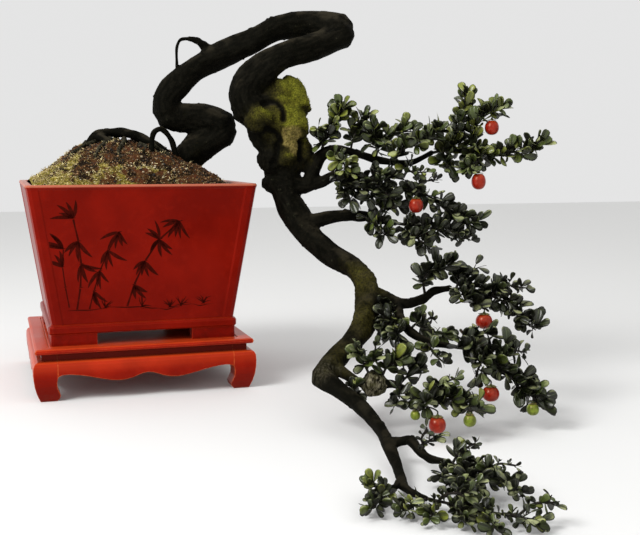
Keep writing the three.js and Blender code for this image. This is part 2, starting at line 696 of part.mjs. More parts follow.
class LeafyStem {
  constructor(name, leafLength) {
    this.name = name;
    this.leafLength = leafLength;
    this.positions = [];
    this.index = [];
    this.shoots = [];
  }

  addPoint({ x, y, z }) {
    this.positions.push(x, y, z);
    return this.positions.length / 3 - 1;
  }

  placeOf(i) {
    return new THREE.Vector3().fromArray(this.positions, 3 * i);
  }

  middleOf(loop) {
    return loop.reduce((sum, i) => sum.add(this.placeOf(i)), new THREE.Vector3()).divideScalar(loop.length);
  }

  // Rings of four points along a path. The first ring is the given side of another shoot.
  growShoot(stops, bud = null, spacing = LEAF_SPACING) {
    const path = pathThrough(stops);
    const gaps = Math.max(1, Math.round(path.getLength() / spacing));
    const shoot = { sides: [], gaps, parent: bud ? bud.shoot : null };
    let across = null;
    let ring = null;
    for (let step = 0; step <= gaps; step += 1) {
      const t = path.getUtoTmapping(step / gaps);
      const centre = path.getPoint(t);
      const along = path.getTangent(t);
      if (step === 0 && bud) {
        bud.used = true;
        ring = bud.loop;
        across = this.firstCorner(bud);
        continue;
      }
      across = across ?? perpendicularTo(along);
      across = across.clone().addScaledVector(along, -across.dot(along)).normalize();
      const side = new THREE.Vector3().crossVectors(along, across);
      const radius = radiusAt(stops, t);
      const next = [[1, 0], [0, 1], [-1, 0], [0, -1]].map(([u, v]) => this.addPoint(
        centre.clone().addScaledVector(across, u * radius).addScaledVector(side, v * radius),
      ));
      if (ring) {
        this.addSides(shoot, ring, next, step - 1, along);
        addObstacle(this.middleOf(ring), centre, radius, shoot);
      } else {
        this.index.push(next[0], next[2], next[1], next[0], next[3], next[2]);
      }
      ring = next;
    }
    shoot.tip = { loop: ring, along: path.getTangent(1), used: false };
    this.shoots.push(shoot);
    return shoot;
  }

  // Where the first corner of a ring goes, so that a shoot leaves its bud with the least twist
  firstCorner({ loop, middle, outward }) {
    return loop.reduce((sum, i, turn) => {
      const corner = this.placeOf(i).sub(middle).normalize();
      return sum.add(corner.applyAxisAngle(outward, -turn * (Math.PI / 2)));
    }, new THREE.Vector3());
  }

  addSides(shoot, low, high, gap, along) {
    for (let i = 0; i < 4; i += 1) {
      const j = (i + 1) % 4;
      const loop = [low[i], low[j], high[j], high[i]];
      const middle = this.middleOf(loop);
      const outward = this.placeOf(low[j]).sub(this.placeOf(low[i])).cross(along).normalize();
      shoot.sides.push({ shoot, loop, gap, middle, outward, along, used: false });
    }
  }

  // The free sides of all shoots, those nearest to a place and facing the given way first
  sidesFacing(place, direction) {
    const free = this.shoots.flatMap(({ sides }) => sides).filter(({ used }) => !used);
    const cost = ({ middle, outward }) => middle.distanceTo(place) - 6 * outward.dot(direction);
    return free.sort((one, other) => cost(one) - cost(other));
  }

  growSideShoot(stops) {
    const start = new THREE.Vector3(...stops[0]);
    const direction = new THREE.Vector3(...stops[1]).sub(start).normalize();
    this.sidesFacing(start, direction).slice(0, 8).find((bud) => this.growIfClear(bud, () => {
      this.growShoot([[...bud.middle.toArray(), stops[0][3]], ...stops.slice(1)], bud);
    }));
  }

  growFruitStalk(fruit) {
    const top = new THREE.Vector3(...fruit.centre).addScaledVector(UP, 0.5 * fruit.height + 2.2);
    const buds = this.sidesFacing(top, new THREE.Vector3(0, 0, -1)).slice(0, 12);
    buds.find((bud) => this.growIfClear(bud, () => this.growStalk(bud, top, 0.62 * fruit.radius)));
  }

  // A stalk that widens into the four-lobed calyx on top of a fruit
  growStalk(bud, top, calyx) {
    const out = bud.middle.clone().addScaledVector(bud.outward, 3.5);
    const over = top.clone().addScaledVector(UP, 4);
    const path = [[bud.middle, 1.6], [out, 1.5], [over, 1.3], [top, 1.3]];
    const stops = path.map(([place, thickness]) => [...place.toArray(), thickness]);
    const stalk = this.growShoot(stops, bud, STALK_SPACING);
    let ring = stalk.tip.loop;
    const corners = ring.map((i) => this.placeOf(i).sub(top).setZ(0).normalize());
    for (const [reach, drop] of [[0.55 * calyx, 0.6], [calyx, 2], [0.9 * calyx, 2.7]]) {
      const next = corners.map((corner) => this.addPoint(
        top.clone().addScaledVector(corner, reach).addScaledVector(UP, -drop),
      ));
      for (let i = 0; i < 4; i += 1) {
        const j = (i + 1) % 4;
        this.index.push(ring[i], ring[j], next[j], ring[i], next[j], next[i]);
      }
      ring = next;
    }
    const hub = this.addPoint(top.clone().addScaledVector(UP, -1.6));
    for (let i = 0; i < 4; i += 1) {
      this.index.push(ring[i], ring[(i + 1) % 4], hub);
    }
    addObstacle(top, top.clone().addScaledVector(UP, -2), calyx);
    stalk.tip.used = true;
    stalk.bare = true;
  }

  // The faces of the stem from a given corner list and shoot onwards
  facesFrom(firstIndex, firstShoot) {
    const faces = [];
    for (let i = firstIndex; i < this.index.length; i += 3) {
      faces.push(this.index.slice(i, i + 3));
    }
    for (const { sides, tip } of this.shoots.slice(firstShoot)) {
      for (const { loop: [a, b, c, d], used } of [...sides, tip]) {
        if (!used) {
          faces.push([a, b, c], [a, c, d]);
        }
      }
    }
    return faces;
  }

  // Grows something, and takes it back if it would cut through the stem
  growIfClear(side, grow) {
    const lists = [this.index, this.shoots, this.positions, obstacles, blades];
    const before = lists.map((list) => list.length);
    grow();
    const placeOf = (i) => this.placeOf(i);
    const grown = this.facesFrom(before[0], before[1]).map((face) => ({ face, ball: ballRound(face.map(placeOf)) }));
    const all = this.facesFrom(0, 0).map((face) => ({ face, ball: ballRound(face.map(placeOf)) }));
    const crossing = grown.some(({ face, ball }) => all.some((other) => (
      ball.intersectsSphere(other.ball) && facesCross(face, other.face, placeOf)
    )));
    if (crossing) {
      lists.forEach((list, i) => {
        list.length = before[i];
      });
      side.used = false;
    }
    return !crossing;
  }

  // A blade that opens out of one side of a shoot
  growLeaf(side, blade) {
    side.used = true;
    const [a, b, c, d] = side.loop;
    const [left, tip, right] = blade.rim.map((point) => this.addPoint(point));
    const middle = this.addPoint(blade.middle);
    const over = [c, d, left, tip, right];
    over.forEach((point, i) => this.index.push(point, over[(i + 1) % over.length], middle));
    this.index.push(a, b, right, a, right, left, right, tip, left);
    this.index.push(a, left, d, b, c, right);
    blades.push(blade);
  }

  // Tries a leaf at a few angles round its place, longest first, and leaves it out if none is clear
  tryLeaf(side, shoot, outward, along, lean) {
    for (const share of [1, 0.82]) {
      for (const swing of [0, 0.35, -0.35, 0.7, -0.7]) {
        for (const tilt of [0, 0.3, -0.3]) {
          const turned = outward.clone().applyAxisAngle(along, swing);
          const direction = turned.multiplyScalar(Math.sin(lean + tilt))
            .addScaledVector(along, Math.cos(lean + tilt))
            .addScaledVector(UP, 0.22)
            .normalize();
          const face = along.clone().multiplyScalar(0.5).addScaledVector(LIGHT, 1 + 0.5 * along.z);
          face.addScaledVector(direction, -face.dot(direction)).normalize();
          const corners = side.loop.map((i) => this.placeOf(i));
          const length = share * this.leafLength;
          const blade = bladeShape({ corners, root: side.middle, direction, face, length });
          if (bladeIsClear(blade, shoot) && this.growIfClear(side, () => this.growLeaf(side, blade))) {
            return;
          }
        }
      }
    }
  }

  // Short spurs stand off the longer shoots, turned round them by the golden angle
  growSpurs() {
    for (const shoot of [...this.shoots]) {
      for (let gap = 1; gap + 2 < shoot.gaps; gap += SPUR_STEP) {
        const free = shoot.sides.filter((side) => side.gap === gap && !side.used);
        const { along } = shoot.sides.find((side) => side.gap === gap);
        const wanted = perpendicularTo(along).applyAxisAngle(along, gap * GOLDEN_ANGLE).addScaledVector(UP, 0.3);
        if (free.length > 0) {
          const fit = (side) => side.outward.dot(wanted);
          this.growSpur(free.reduce((best, side) => (fit(side) > fit(best) ? side : best)), wanted);
        }
      }
    }
  }

  growSpur(side, wanted) {
    const direction = side.outward.clone().add(wanted).addScaledVector(side.along, 0.9).normalize();
    const end = side.middle.clone().addScaledVector(direction, SPUR_LENGTH);
    const crowded = obstacles.some(({ from, to, radius, owner }) => {
      const own = owner === side.shoot;
      const nearest = Math.min(distanceToSegment(end, from, to), distanceToSegment(side.middle, from, to));
      return !own && nearest < radius + 5;
    });
    if (!crowded && end.z > 8) {
      const stops = [[...side.middle.toArray(), 2.2], [...end.toArray(), 1.9]];
      this.growIfClear(side, () => this.growShoot(stops, side));
    }
  }

  leafyShoots() {
    return this.shoots.filter(({ bare }) => !bare);
  }

  growTipLeaves() {
    for (const shoot of this.leafyShoots()) {
      const last = shoot.gaps - 1;
      const { along } = shoot.sides.find((side) => side.gap === last);
      this.tipLeaf(shoot);
      for (let quarter = 0; quarter < 4; quarter += 1) {
        const outward = perpendicularTo(along).applyAxisAngle(along, (quarter + 0.5) * (Math.PI / 2));
        this.leafOn(shoot, last, outward, 0.85);
      }
    }
  }

  growSideLeaves(turn) {
    this.leafyShoots().forEach((shoot, number) => {
      for (let gap = 1; gap + 1 < shoot.gaps; gap += 1) {
        const { along } = shoot.sides.find((side) => side.gap === gap);
        const outward = perpendicularTo(along).applyAxisAngle(along, gap * GOLDEN_ANGLE + number + turn);
        this.leafOn(shoot, gap, outward, 1.0);
      }
    });
  }

  leafOn(shoot, gap, outward, lean) {
    const free = shoot.sides.filter((side) => side.gap === gap && !side.used);
    if (free.length === 0) {
      return;
    }
    const side = free.reduce((best, other) => (other.outward.dot(outward) > best.outward.dot(outward) ? other : best));
    if (side.outward.dot(outward) > 0.5) {
      this.tryLeaf(side, shoot, outward, side.along, lean);
    }
  }

  tipLeaf(shoot) {
    const { loop, along } = shoot.tip;
    const middle = this.middleOf(loop);
    const rise = LIGHT.clone().addScaledVector(along, -along.dot(LIGHT));
    const facing = (start) => {
      const upper = this.placeOf(loop[(start + 2) % 4]).add(this.placeOf(loop[(start + 3) % 4])).multiplyScalar(0.5);
      return upper.sub(middle).dot(rise);
    };
    const start = [0, 1, 2, 3].reduce((best, i) => (facing(i) > facing(best) ? i : best));
    const turnedLoop = [0, 1, 2, 3].map((i) => loop[(start + i) % 4]);
    const direction = along.clone().addScaledVector(UP, 0.15).normalize();
    const face = rise.addScaledVector(direction, -rise.dot(direction)).normalize();
    const corners = turnedLoop.map((i) => this.placeOf(i));
    const blade = bladeShape({ corners, root: middle, direction, face, length: this.leafLength });
    if (bladeIsClear(blade, shoot)) {
      shoot.tip.used = true;
      this.growIfClear(shoot.tip, () => this.growLeaf({ loop: turnedLoop, middle }, blade));
    }
  }

  body() {
    for (const { sides, tip } of this.shoots) {
      for (const { loop: [a, b, c, d], used } of [...sides, tip]) {
        if (!used) {
          this.index.push(a, b, c, a, c, d);
        }
      }
    }
    const grown = solidOf(indexedGeometry(this.positions, this.index));
    return geometryOf(largestPiece(grown.subtract(clearedWood)));
  }
}

// Leafy stems from the top tier down. The stops of each shoot are [x, y, z, radius].
const LEAFY_STEMS = [
  { name: "tier1_left_spray", leaf: 25, shoots: [
    [[306, -174, 400, 4], [313, -178, 428, 3], [327, -185, 455, 2.4], [341, -192, 478, 1.8]],
    [[311, -177, 415, 2.6], [301, -182, 430, 2.2], [300, -184, 446, 1.8]]] },
  { name: "tier1_left_upper_spray", leaf: 24, shoots: [
    [[354, -194, 407, 3], [358, -203, 434, 2.4], [372, -210, 463, 1.8]]] },
  { name: "tier1_left_lower_spray", leaf: 24, shoots: [
    [[331, -186, 411, 3], [332, -215, 392, 2.4], [338, -230, 375, 1.8]]] },
  { name: "tier1_middle_spray", leaf: 25, shoots: [
    [[395, -209, 395, 3.4], [407, -199, 418, 2.8], [432, -195, 435, 2.2], [457, -196, 446, 1.8]],
    [[402, -203, 408, 2.8], [390, -216, 426, 2.2], [386, -226, 444, 1.8]]] },
  { name: "tier1_front_spray", leaf: 25, shoots: [
    [[416, -216, 390, 3.4], [426, -254, 410, 2.8], [452, -271, 425, 2.2], [481, -279, 442, 1.8]]] },
  { name: "tier1_hanging_spray", leaf: 24, shoots: [
    [[442, -225, 388, 3], [445, -254, 373, 2.4], [464, -270, 373, 1.8]]] },
  { name: "tier1_outer_spray", leaf: 25, shoots: [
    [[486, -237, 405, 3.6], [533, -256, 414, 3.2], [577, -277, 400, 2.8], [604, -291, 405, 2.4], [633, -305, 410, 2], [652, -315, 421, 1.8]],
    [[520, -252, 412, 3], [533, -247, 445, 2.6], [547, -242, 480, 2.2], [551, -240, 507, 1.8]],
    [[550, -262, 412, 2.8], [555, -270, 448, 2.4], [571, -277, 473, 2], [592, -289, 480, 1.8]],
    [[555, -266, 409, 2.6], [549, -295, 393, 2.2], [531, -302, 382, 1.8]],
    [[505, -244, 411, 2.6], [501, -270, 393, 2.2], [499, -282, 377, 1.8]]] },
  { name: "tier2_inner_spray", leaf: 25, shoots: [
    [[329, -185, 366, 3.4], [334, -220, 353, 2.6], [339, -235, 329, 1.8]],
    [[332, -208, 358, 2.8], [348, -224, 350, 2.4], [366, -242, 338, 1.8]]] },
  { name: "tier2_middle_spray", leaf: 25, shoots: [
    [[373, -203, 355, 3.2], [387, -225, 366, 2.4], [409, -243, 363, 1.8]],
    [[383, -218, 362, 2.8], [388, -246, 348, 2.2], [402, -264, 330, 1.8]]] },
  { name: "tier2_outer_spray", leaf: 25, shoots: [
    [[421, -229, 338, 3.8], [447, -258, 342, 3.2], [472, -278, 329, 2.8], [498, -295, 304, 2.4], [534, -314, 286, 1.8]],
    [[443, -251, 342, 2.8], [469, -242, 355, 2.2], [496, -240, 359, 1.8]]] },
  { name: "tier2_hanging_spray", leaf: 25, shoots: [
    [[368, -216, 300, 3.4], [377, -253, 285, 2.6], [389, -269, 269, 1.8]]] },
  { name: "tier2_back_spray", leaf: 25, shoots: [
    [[388, -227, 294, 3.2], [412, -208, 310, 2.4], [436, -205, 313, 1.8]]] },
  { name: "tier2_lower_spray", leaf: 25, shoots: [
    [[417, -243, 286, 3.8], [451, -277, 280, 3.2], [488, -301, 274, 2.6], [522, -324, 260, 1.8]],
    [[431, -260, 285, 2.8], [433, -294, 267, 2.2], [447, -311, 253, 1.8]]] },
  { name: "tier3_inner_spray", leaf: 26, shoots: [
    [[418, -376, 176, 3.4], [412, -385, 204, 2.8], [426, -392, 222, 2.2], [445, -403, 230, 1.8]]] },
  { name: "tier3_outer_spray", leaf: 26, shoots: [
    [[448, -397, 190, 3.8], [484, -420, 189, 3.4], [517, -443, 175, 2.8], [536, -456, 160, 2.4], [559, -473, 133, 1.8]],
    [[459, -404, 191, 2.8], [472, -398, 210, 2.2], [496, -399, 220, 1.8]],
    [[467, -409, 190, 2.8], [461, -435, 178, 2.2], [471, -450, 169, 1.8]],
    [[503, -435, 181, 2.8], [528, -434, 196, 2.2], [561, -440, 192, 1.8]]] },
  { name: "tier4_inner_spray", leaf: 27, shoots: [
    [[372, -376, 148, 3.4], [352, -389, 143, 2.6], [338, -392, 122, 1.8]],
    [[358, -386, 145, 2.8], [349, -408, 136, 2.4], [350, -432, 122, 1.8]]] },
  { name: "tier4_trunk_spray", leaf: 25, shoots: [
    [[362, -328, 168, 3.2], [356, -352, 152, 2.4], [350, -366, 158, 1.8]]] },
  { name: "tier4_upper_spray", leaf: 27, shoots: [
    [[370, -424, 131, 3.2], [387, -421, 143, 2.4], [410, -422, 148, 1.8]],
    [[382, -422, 140, 2.6], [396, -437, 132, 2.2], [416, -446, 127, 1.8]]] },
  { name: "tier4_lower_spray", leaf: 26, shoots: [
    [[385, -461, 120, 3.2], [384, -487, 106, 2.4], [396, -498, 93, 1.8]]] },
  { name: "tier4_outer_spray", leaf: 27, shoots: [
    [[407, -487, 116, 3.6], [438, -515, 112, 3.2], [459, -528, 102, 2.8], [476, -542, 80, 2.4], [493, -554, 66, 2.2], [511, -574, 42, 1.8]],
    [[418, -498, 114, 2.8], [438, -492, 127, 2.2], [463, -494, 135, 1.8]],
    [[442, -517, 110, 2.8], [433, -542, 98, 2.2], [425, -546, 84, 1.8]],
    [[462, -531, 100, 2.8], [485, -530, 113, 2.2], [512, -529, 108, 1.8]]] },
  { name: "tier5_stub_spray", leaf: 24, shoots: [
    [[278, -500, 80, 3], [268, -499, 100, 2.4], [261, -500, 115, 1.8]],
    [[272, -499, 92, 2.6], [280, -506, 112, 2.2], [282, -509, 126, 1.8]]] },
  { name: "tier5_upper_spray", leaf: 25, shoots: [
    [[291, -508, 78, 3], [299, -514, 98, 2.4], [314, -523, 108, 1.8]]] },
  { name: "tier5_middle_spray", leaf: 25, shoots: [
    [[311, -524, 70, 2.8], [331, -521, 85, 2.4], [353, -522, 93, 1.8]],
    [[316, -524, 74, 2.6], [306, -536, 62, 2.2], [298, -544, 48, 1.8]]] },
  { name: "tier5_outer_spray", leaf: 26, shoots: [
    [[336, -540, 62, 3.2], [361, -560, 57, 2.8], [378, -577, 55, 2.2], [400, -590, 47, 1.8]],
    [[352, -553, 58, 2.6], [367, -555, 75, 2.2], [388, -555, 83, 1.8]],
    [[347, -549, 59, 2.6], [340, -565, 55, 2.2], [330, -576, 50, 1.8]]] },
  { name: "tier5_twig", leaf: 20, shoots: [
    [[257, -477, 75, 2.6], [253, -488, 64, 2.2], [256, -500, 57, 1.8]]] },
  { name: "tier6_inner_spray", leaf: 20, shoots: [
    [[265, -713, 30, 2.8], [268, -722, 44, 2.4], [280, -730, 54, 1.8]],
    [[267, -719, 40, 2.4], [259, -728, 52, 2.2], [262, -736, 66, 1.8]]] },
  { name: "tier6_outer_spray", leaf: 21, shoots: [
    [[275, -755, 29, 3.2], [295, -791, 29, 2.8], [311, -817, 27, 2.4], [320, -842, 24, 2.2], [326, -865, 17, 1.8]],
    [[282, -767, 29, 2.6], [293, -767, 43, 2.2], [309, -771, 53, 1.8]],
    [[279, -762, 29, 2.6], [270, -774, 20, 2.2], [268, -790, 12, 1.8]],
    [[288, -778, 29, 2.6], [279, -807, 27, 2.2], [283, -825, 23, 1.8]],
    [[305, -807, 28, 2.6], [322, -809, 38, 2.2], [338, -819, 38, 1.8]]] },
  { name: "tier7_left_spray", leaf: 19, shoots: [
    [[197, -782, 13, 2.8], [179, -786, 18, 2.4], [164, -786, 21, 1.8]],
    [[190, -783, 14, 2.4], [172, -811, 12, 2], [154, -832, 11, 1.8]]] },
  { name: "tier7_outer_spray", leaf: 19, shoots: [
    [[223, -820, 11, 2.8], [241, -849, 12, 2.4], [264, -873, 11, 2.2], [288, -897, 10, 2], [310, -915, 9, 1.8]],
    [[222, -824, 11, 2.4], [205, -838, 12, 2.2], [186, -850, 11, 1.8]],
    [[229, -833, 11, 2.4], [218, -858, 11, 2.2], [205, -877, 10, 1.8]],
    [[231, -838, 12, 2.4], [234, -858, 27, 2.2], [246, -876, 33, 1.8]],
    [[239, -848, 11, 2.4], [252, -847, 19, 2.2], [272, -847, 24, 1.8]],
    [[241, -852, 12, 2.4], [240, -876, 13, 2.2], [236, -900, 11, 1.8]],
    [[262, -872, 11, 2.4], [262, -898, 13, 2.2], [258, -925, 11, 1.8]],
    [[284, -893, 11, 2.4], [290, -912, 15, 2.2], [298, -934, 13, 1.8]],
    [[296, -903, 10, 2.4], [314, -908, 24, 2.2], [334, -916, 26, 1.8]]] },
];

const FRUITS = [
  { name: "fruit_top", stem: "tier1_outer_spray", centre: [580, -283, 449], radius: 12, height: 26 },
  { name: "fruit_top_hanging", stem: "tier1_outer_spray", centre: [541, -314, 358], radius: 12, height: 28 },
  { name: "fruit_second_tier", stem: "tier2_outer_spray", centre: [436, -294, 318], radius: 12, height: 25 },
  { name: "fruit_third_tier", stem: "tier3_outer_spray", centre: [480, -461, 146], radius: 13, height: 24 },
  { name: "fruit_fourth_tier", stem: "tier4_outer_spray", centre: [444, -556, 56], radius: 12.5, height: 23 },
  { name: "fruit_fifth_tier", stem: "tier5_outer_spray", centre: [342, -594, 28], radius: 12, height: 24 },
  { name: "fruit_unripe_small", stem: "tier5_outer_spray", centre: [318, -572, 38], radius: 7, height: 14, unripe: true },
  { name: "fruit_unripe_lower", stem: "tier5_outer_spray", centre: [385, -608, 34], radius: 9, height: 18, unripe: true },
  { name: "fruit_unripe_outer", stem: "tier4_outer_spray", centre: [500, -580, 34], radius: 9, height: 18, unripe: true },
];

// A fruit is a slightly squared ball, dimpled under its calyx
function fruitBody({ centre: [x, y, z], radius, height }) {
  const half = 0.5 * height;
  const outline = [[0, -1], [0.6, -0.82], [0.97, -0.3], [0.95, 0.35], [0.55, 0.84], [0, 0.8]];
  const profile = outline.map(([u, v]) => new THREE.Vector2(u * radius, v * half));
  const fruit = new THREE.LatheGeometry(profile, 8);
  fruit.rotateX(Math.PI / 2);
  return fruit.translate(x, y, z);
}

const leafyStems = LEAFY_STEMS.map(({ name, leaf, shoots: [main, ...others] }) => {
  const stem = new LeafyStem(name, leaf);
  stem.growShoot(main);
  others.forEach((stops) => stem.growSideShoot(stops));
  return stem;
});

for (const fruit of FRUITS) {
  const place = new THREE.Vector3(...fruit.centre);
  const reach = Math.max(fruit.radius, 0.5 * fruit.height);
  addObstacle(place, place.clone().addScaledVector(UP, 0.1), reach + CLEARANCE);
  leafyStems.find(({ name }) => name === fruit.stem).growFruitStalk(fruit);
  addBody(fruit.name, fruitBody(fruit), fruit.unripe ? unripeFruit : ripeFruit);
}

leafyStems.forEach((stem) => stem.growSpurs());
leafyStems.forEach((stem) => stem.growTipLeaves());
leafyStems.forEach((stem) => stem.growSideLeaves(0));
leafyStems.forEach((stem) => addBody(stem.name, stem.body(), glossyLeaf));

// The origin goes under the middle of the box round the whole bonsai
const box = new THREE.Box3();
bodies.forEach(({ geometry }) => {
  geometry.computeBoundingBox();
  box.union(geometry.boundingBox);
});
const middle = box.getCenter(new THREE.Vector3());
bonsai.position.set(-middle.x, -middle.y, -box.min.z);

export default bonsai;
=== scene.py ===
# Looks of the cascading persimmon bonsai: red lacquered stand, red glazed pot, mossy soil,
# dark twisted wood, glossy leaves and small ripe fruit.
# Tables of places are millimetres from the point under the middle of the stand.

import math

import bpy
import numpy as np
from mathutils import Matrix, Vector, noise
from mathutils.bvhtree import BVHTree
from mathutils.kdtree import KDTree


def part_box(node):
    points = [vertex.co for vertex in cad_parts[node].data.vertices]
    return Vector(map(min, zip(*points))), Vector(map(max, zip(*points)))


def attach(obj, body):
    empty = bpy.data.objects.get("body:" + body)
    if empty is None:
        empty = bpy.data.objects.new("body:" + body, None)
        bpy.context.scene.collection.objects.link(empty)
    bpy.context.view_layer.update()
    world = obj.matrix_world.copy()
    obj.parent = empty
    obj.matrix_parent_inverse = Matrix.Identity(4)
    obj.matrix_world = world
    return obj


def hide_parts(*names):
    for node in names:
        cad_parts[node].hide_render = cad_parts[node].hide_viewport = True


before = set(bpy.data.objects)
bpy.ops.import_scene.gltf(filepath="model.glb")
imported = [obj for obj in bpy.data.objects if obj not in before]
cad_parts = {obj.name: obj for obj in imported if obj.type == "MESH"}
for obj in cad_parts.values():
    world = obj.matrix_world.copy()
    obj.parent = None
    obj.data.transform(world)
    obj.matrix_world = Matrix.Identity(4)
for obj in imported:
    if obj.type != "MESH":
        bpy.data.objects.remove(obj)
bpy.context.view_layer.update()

MM = 0.001
UP = np.array([0.0, 0.0, 1.0])

# Heights in metres between which a band of colour comes in or goes out
LOWER_STAND = (0.012, 0.06)
FOOT_DUST = (0.0, 0.02)
APRON_LIT = (0.04, 0.06)
APRON_TOP = (0.063, 0.066)
WAIST_FOOT = (0.065, 0.0672)
WAIST_TOP = (0.0768, 0.0785)
POT_FOOT = (0.088, 0.125)
POT_RIM = (0.3495, 0.3514)
LOW_WOOD_SHADE = (0.03, 0.24)

# The front panel of the pot and the soil, in millimetres
PANEL_FOOT = 121.1
PANEL_HEAD = 346
PANEL_FOOT_HALF = 153.3
PANEL_HEAD_HALF = 187.4
INK_PROUD = 0.12
SOIL_EDGE = 346
SOIL_EDGE_HALF = 176.4
SOIL_STEPS = 170
MOUND_HEIGHT = 70
MOUND_PEAK_X = -15
MOUND_POWER = 2.6
HEAP_HEIGHT = 12
HEAP_X = -22
HEAP_REACH = (75, 48)
HOLLOW_DEPTH = 9
HOLLOW_X = -150
HOLLOW_REACH = 38
MOSS_TRIES = 9000
FLECK_TRIES = 6500
GRIT_TRIES = 4200

# The rounded end of a limb, as shares of its radius
DOME_REACH = 0.6
DOME_WIDTH = 0.55

# Wood. The sizes of its fissures and lumps are in metres, the creases and the moss in millimetres.
WOOD_VOXEL = 2.6 * MM
BARK_RELIEF = 0.06
FURROW = 0.0048
FINE_FURROW = 0.0023
FURROW_STRETCH = 0.28
KNOT = 0.019
LUMP = 0.0125
FINE_LUMP = 0.0062
SPUR = 0.0085
STOUT_LIMB = 0.014
CREASE_WIDTH = 5
CREASE_REACH = 30
CREASE_DEPTH = 3.4
MOSS_THICKNESS = 1.2
BURL_TUFTS = 4600
BURL_FOOT = 0.37

# Foliage
LEAF_WIDTH = 0.64
LEAF_SPACING = 2.9 * MM
LEAF_SHARE = (0.68, 1.08)
LEAF_THICKNESS = 0.45 * MM
LEAF_TRIES = 5
TWIG_SPACING = 4.4 * MM
TWIG_LENGTH = (3, 10)
TWIG_STOPS = 5
GOLDEN_ANGLE = math.radians(137.5)
LIGHT = np.array([-0.25, -0.65, 0.72])
# How close a leaf may come to the floor, to wood or fruit, and to leaves that face the same or another way
FLOOR_GAP = 1.2 * MM
WOOD_GAP = 1.5 * MM
SAME_WAY_GAP = 0.0064
OTHER_WAY_GAP = 0.005
CELL = 0.008
# What grows in a gap between tiers: smaller leaves, fewer of them, on shorter twigs
GAP_LEAF = 0.62
GAP_SKIPPED = 0.35
GAP_TWIG = 0.45

chance = np.random.default_rng(20)

panel_low, panel_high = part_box("stand_panel")
STAND_CENTRE = np.array([(panel_low.x + panel_high.x) / 2, (panel_low.y + panel_high.y) / 2, 0.0])


def placed(x, y, z):
    return np.array([x, y, z], float) * MM + STAND_CENTRE


EYE = placed(-232.5, -1839.9, 401.9)


def colour(code):
    """A linear colour from a hex code."""
    parts = [int(code[i:i + 2], 16) / 255 for i in (1, 3, 5)]
    return (*[part / 12.92 if part <= 0.04045 else ((part + 0.055) / 1.055) ** 2.4 for part in parts], 1.0)


# Finishes

class Value:
    """An output socket of a finish. Arithmetic on values adds Math nodes."""

    def __init__(self, finish, socket):
        self.finish = finish
        self.socket = socket

    def math(self, operation, *terms):
        return self.finish.node("Math", {"operation": operation}, dict(enumerate(terms)))

    def __add__(self, other):
        return self.math("ADD", self, other)

    def __radd__(self, other):
        return self.math("ADD", other, self)

    def __sub__(self, other):
        return self.math("SUBTRACT", self, other)

    def __rsub__(self, other):
        return self.math("SUBTRACT", other, self)

    def __mul__(self, other):
        return self.math("MULTIPLY", self, other)

    def __rmul__(self, other):
        return self.math("MULTIPLY", other, self)

    def __abs__(self):
        return self.math("ABSOLUTE", self)

    def between(self, low, high):
        """Goes smoothly from 0 at low to 1 at high."""
        settings = {"interpolation_type": "SMOOTHSTEP"}
        return self.finish.node("MapRange", settings, {0: self, 1: low, 2: high, 3: 0.0, 4: 1.0})


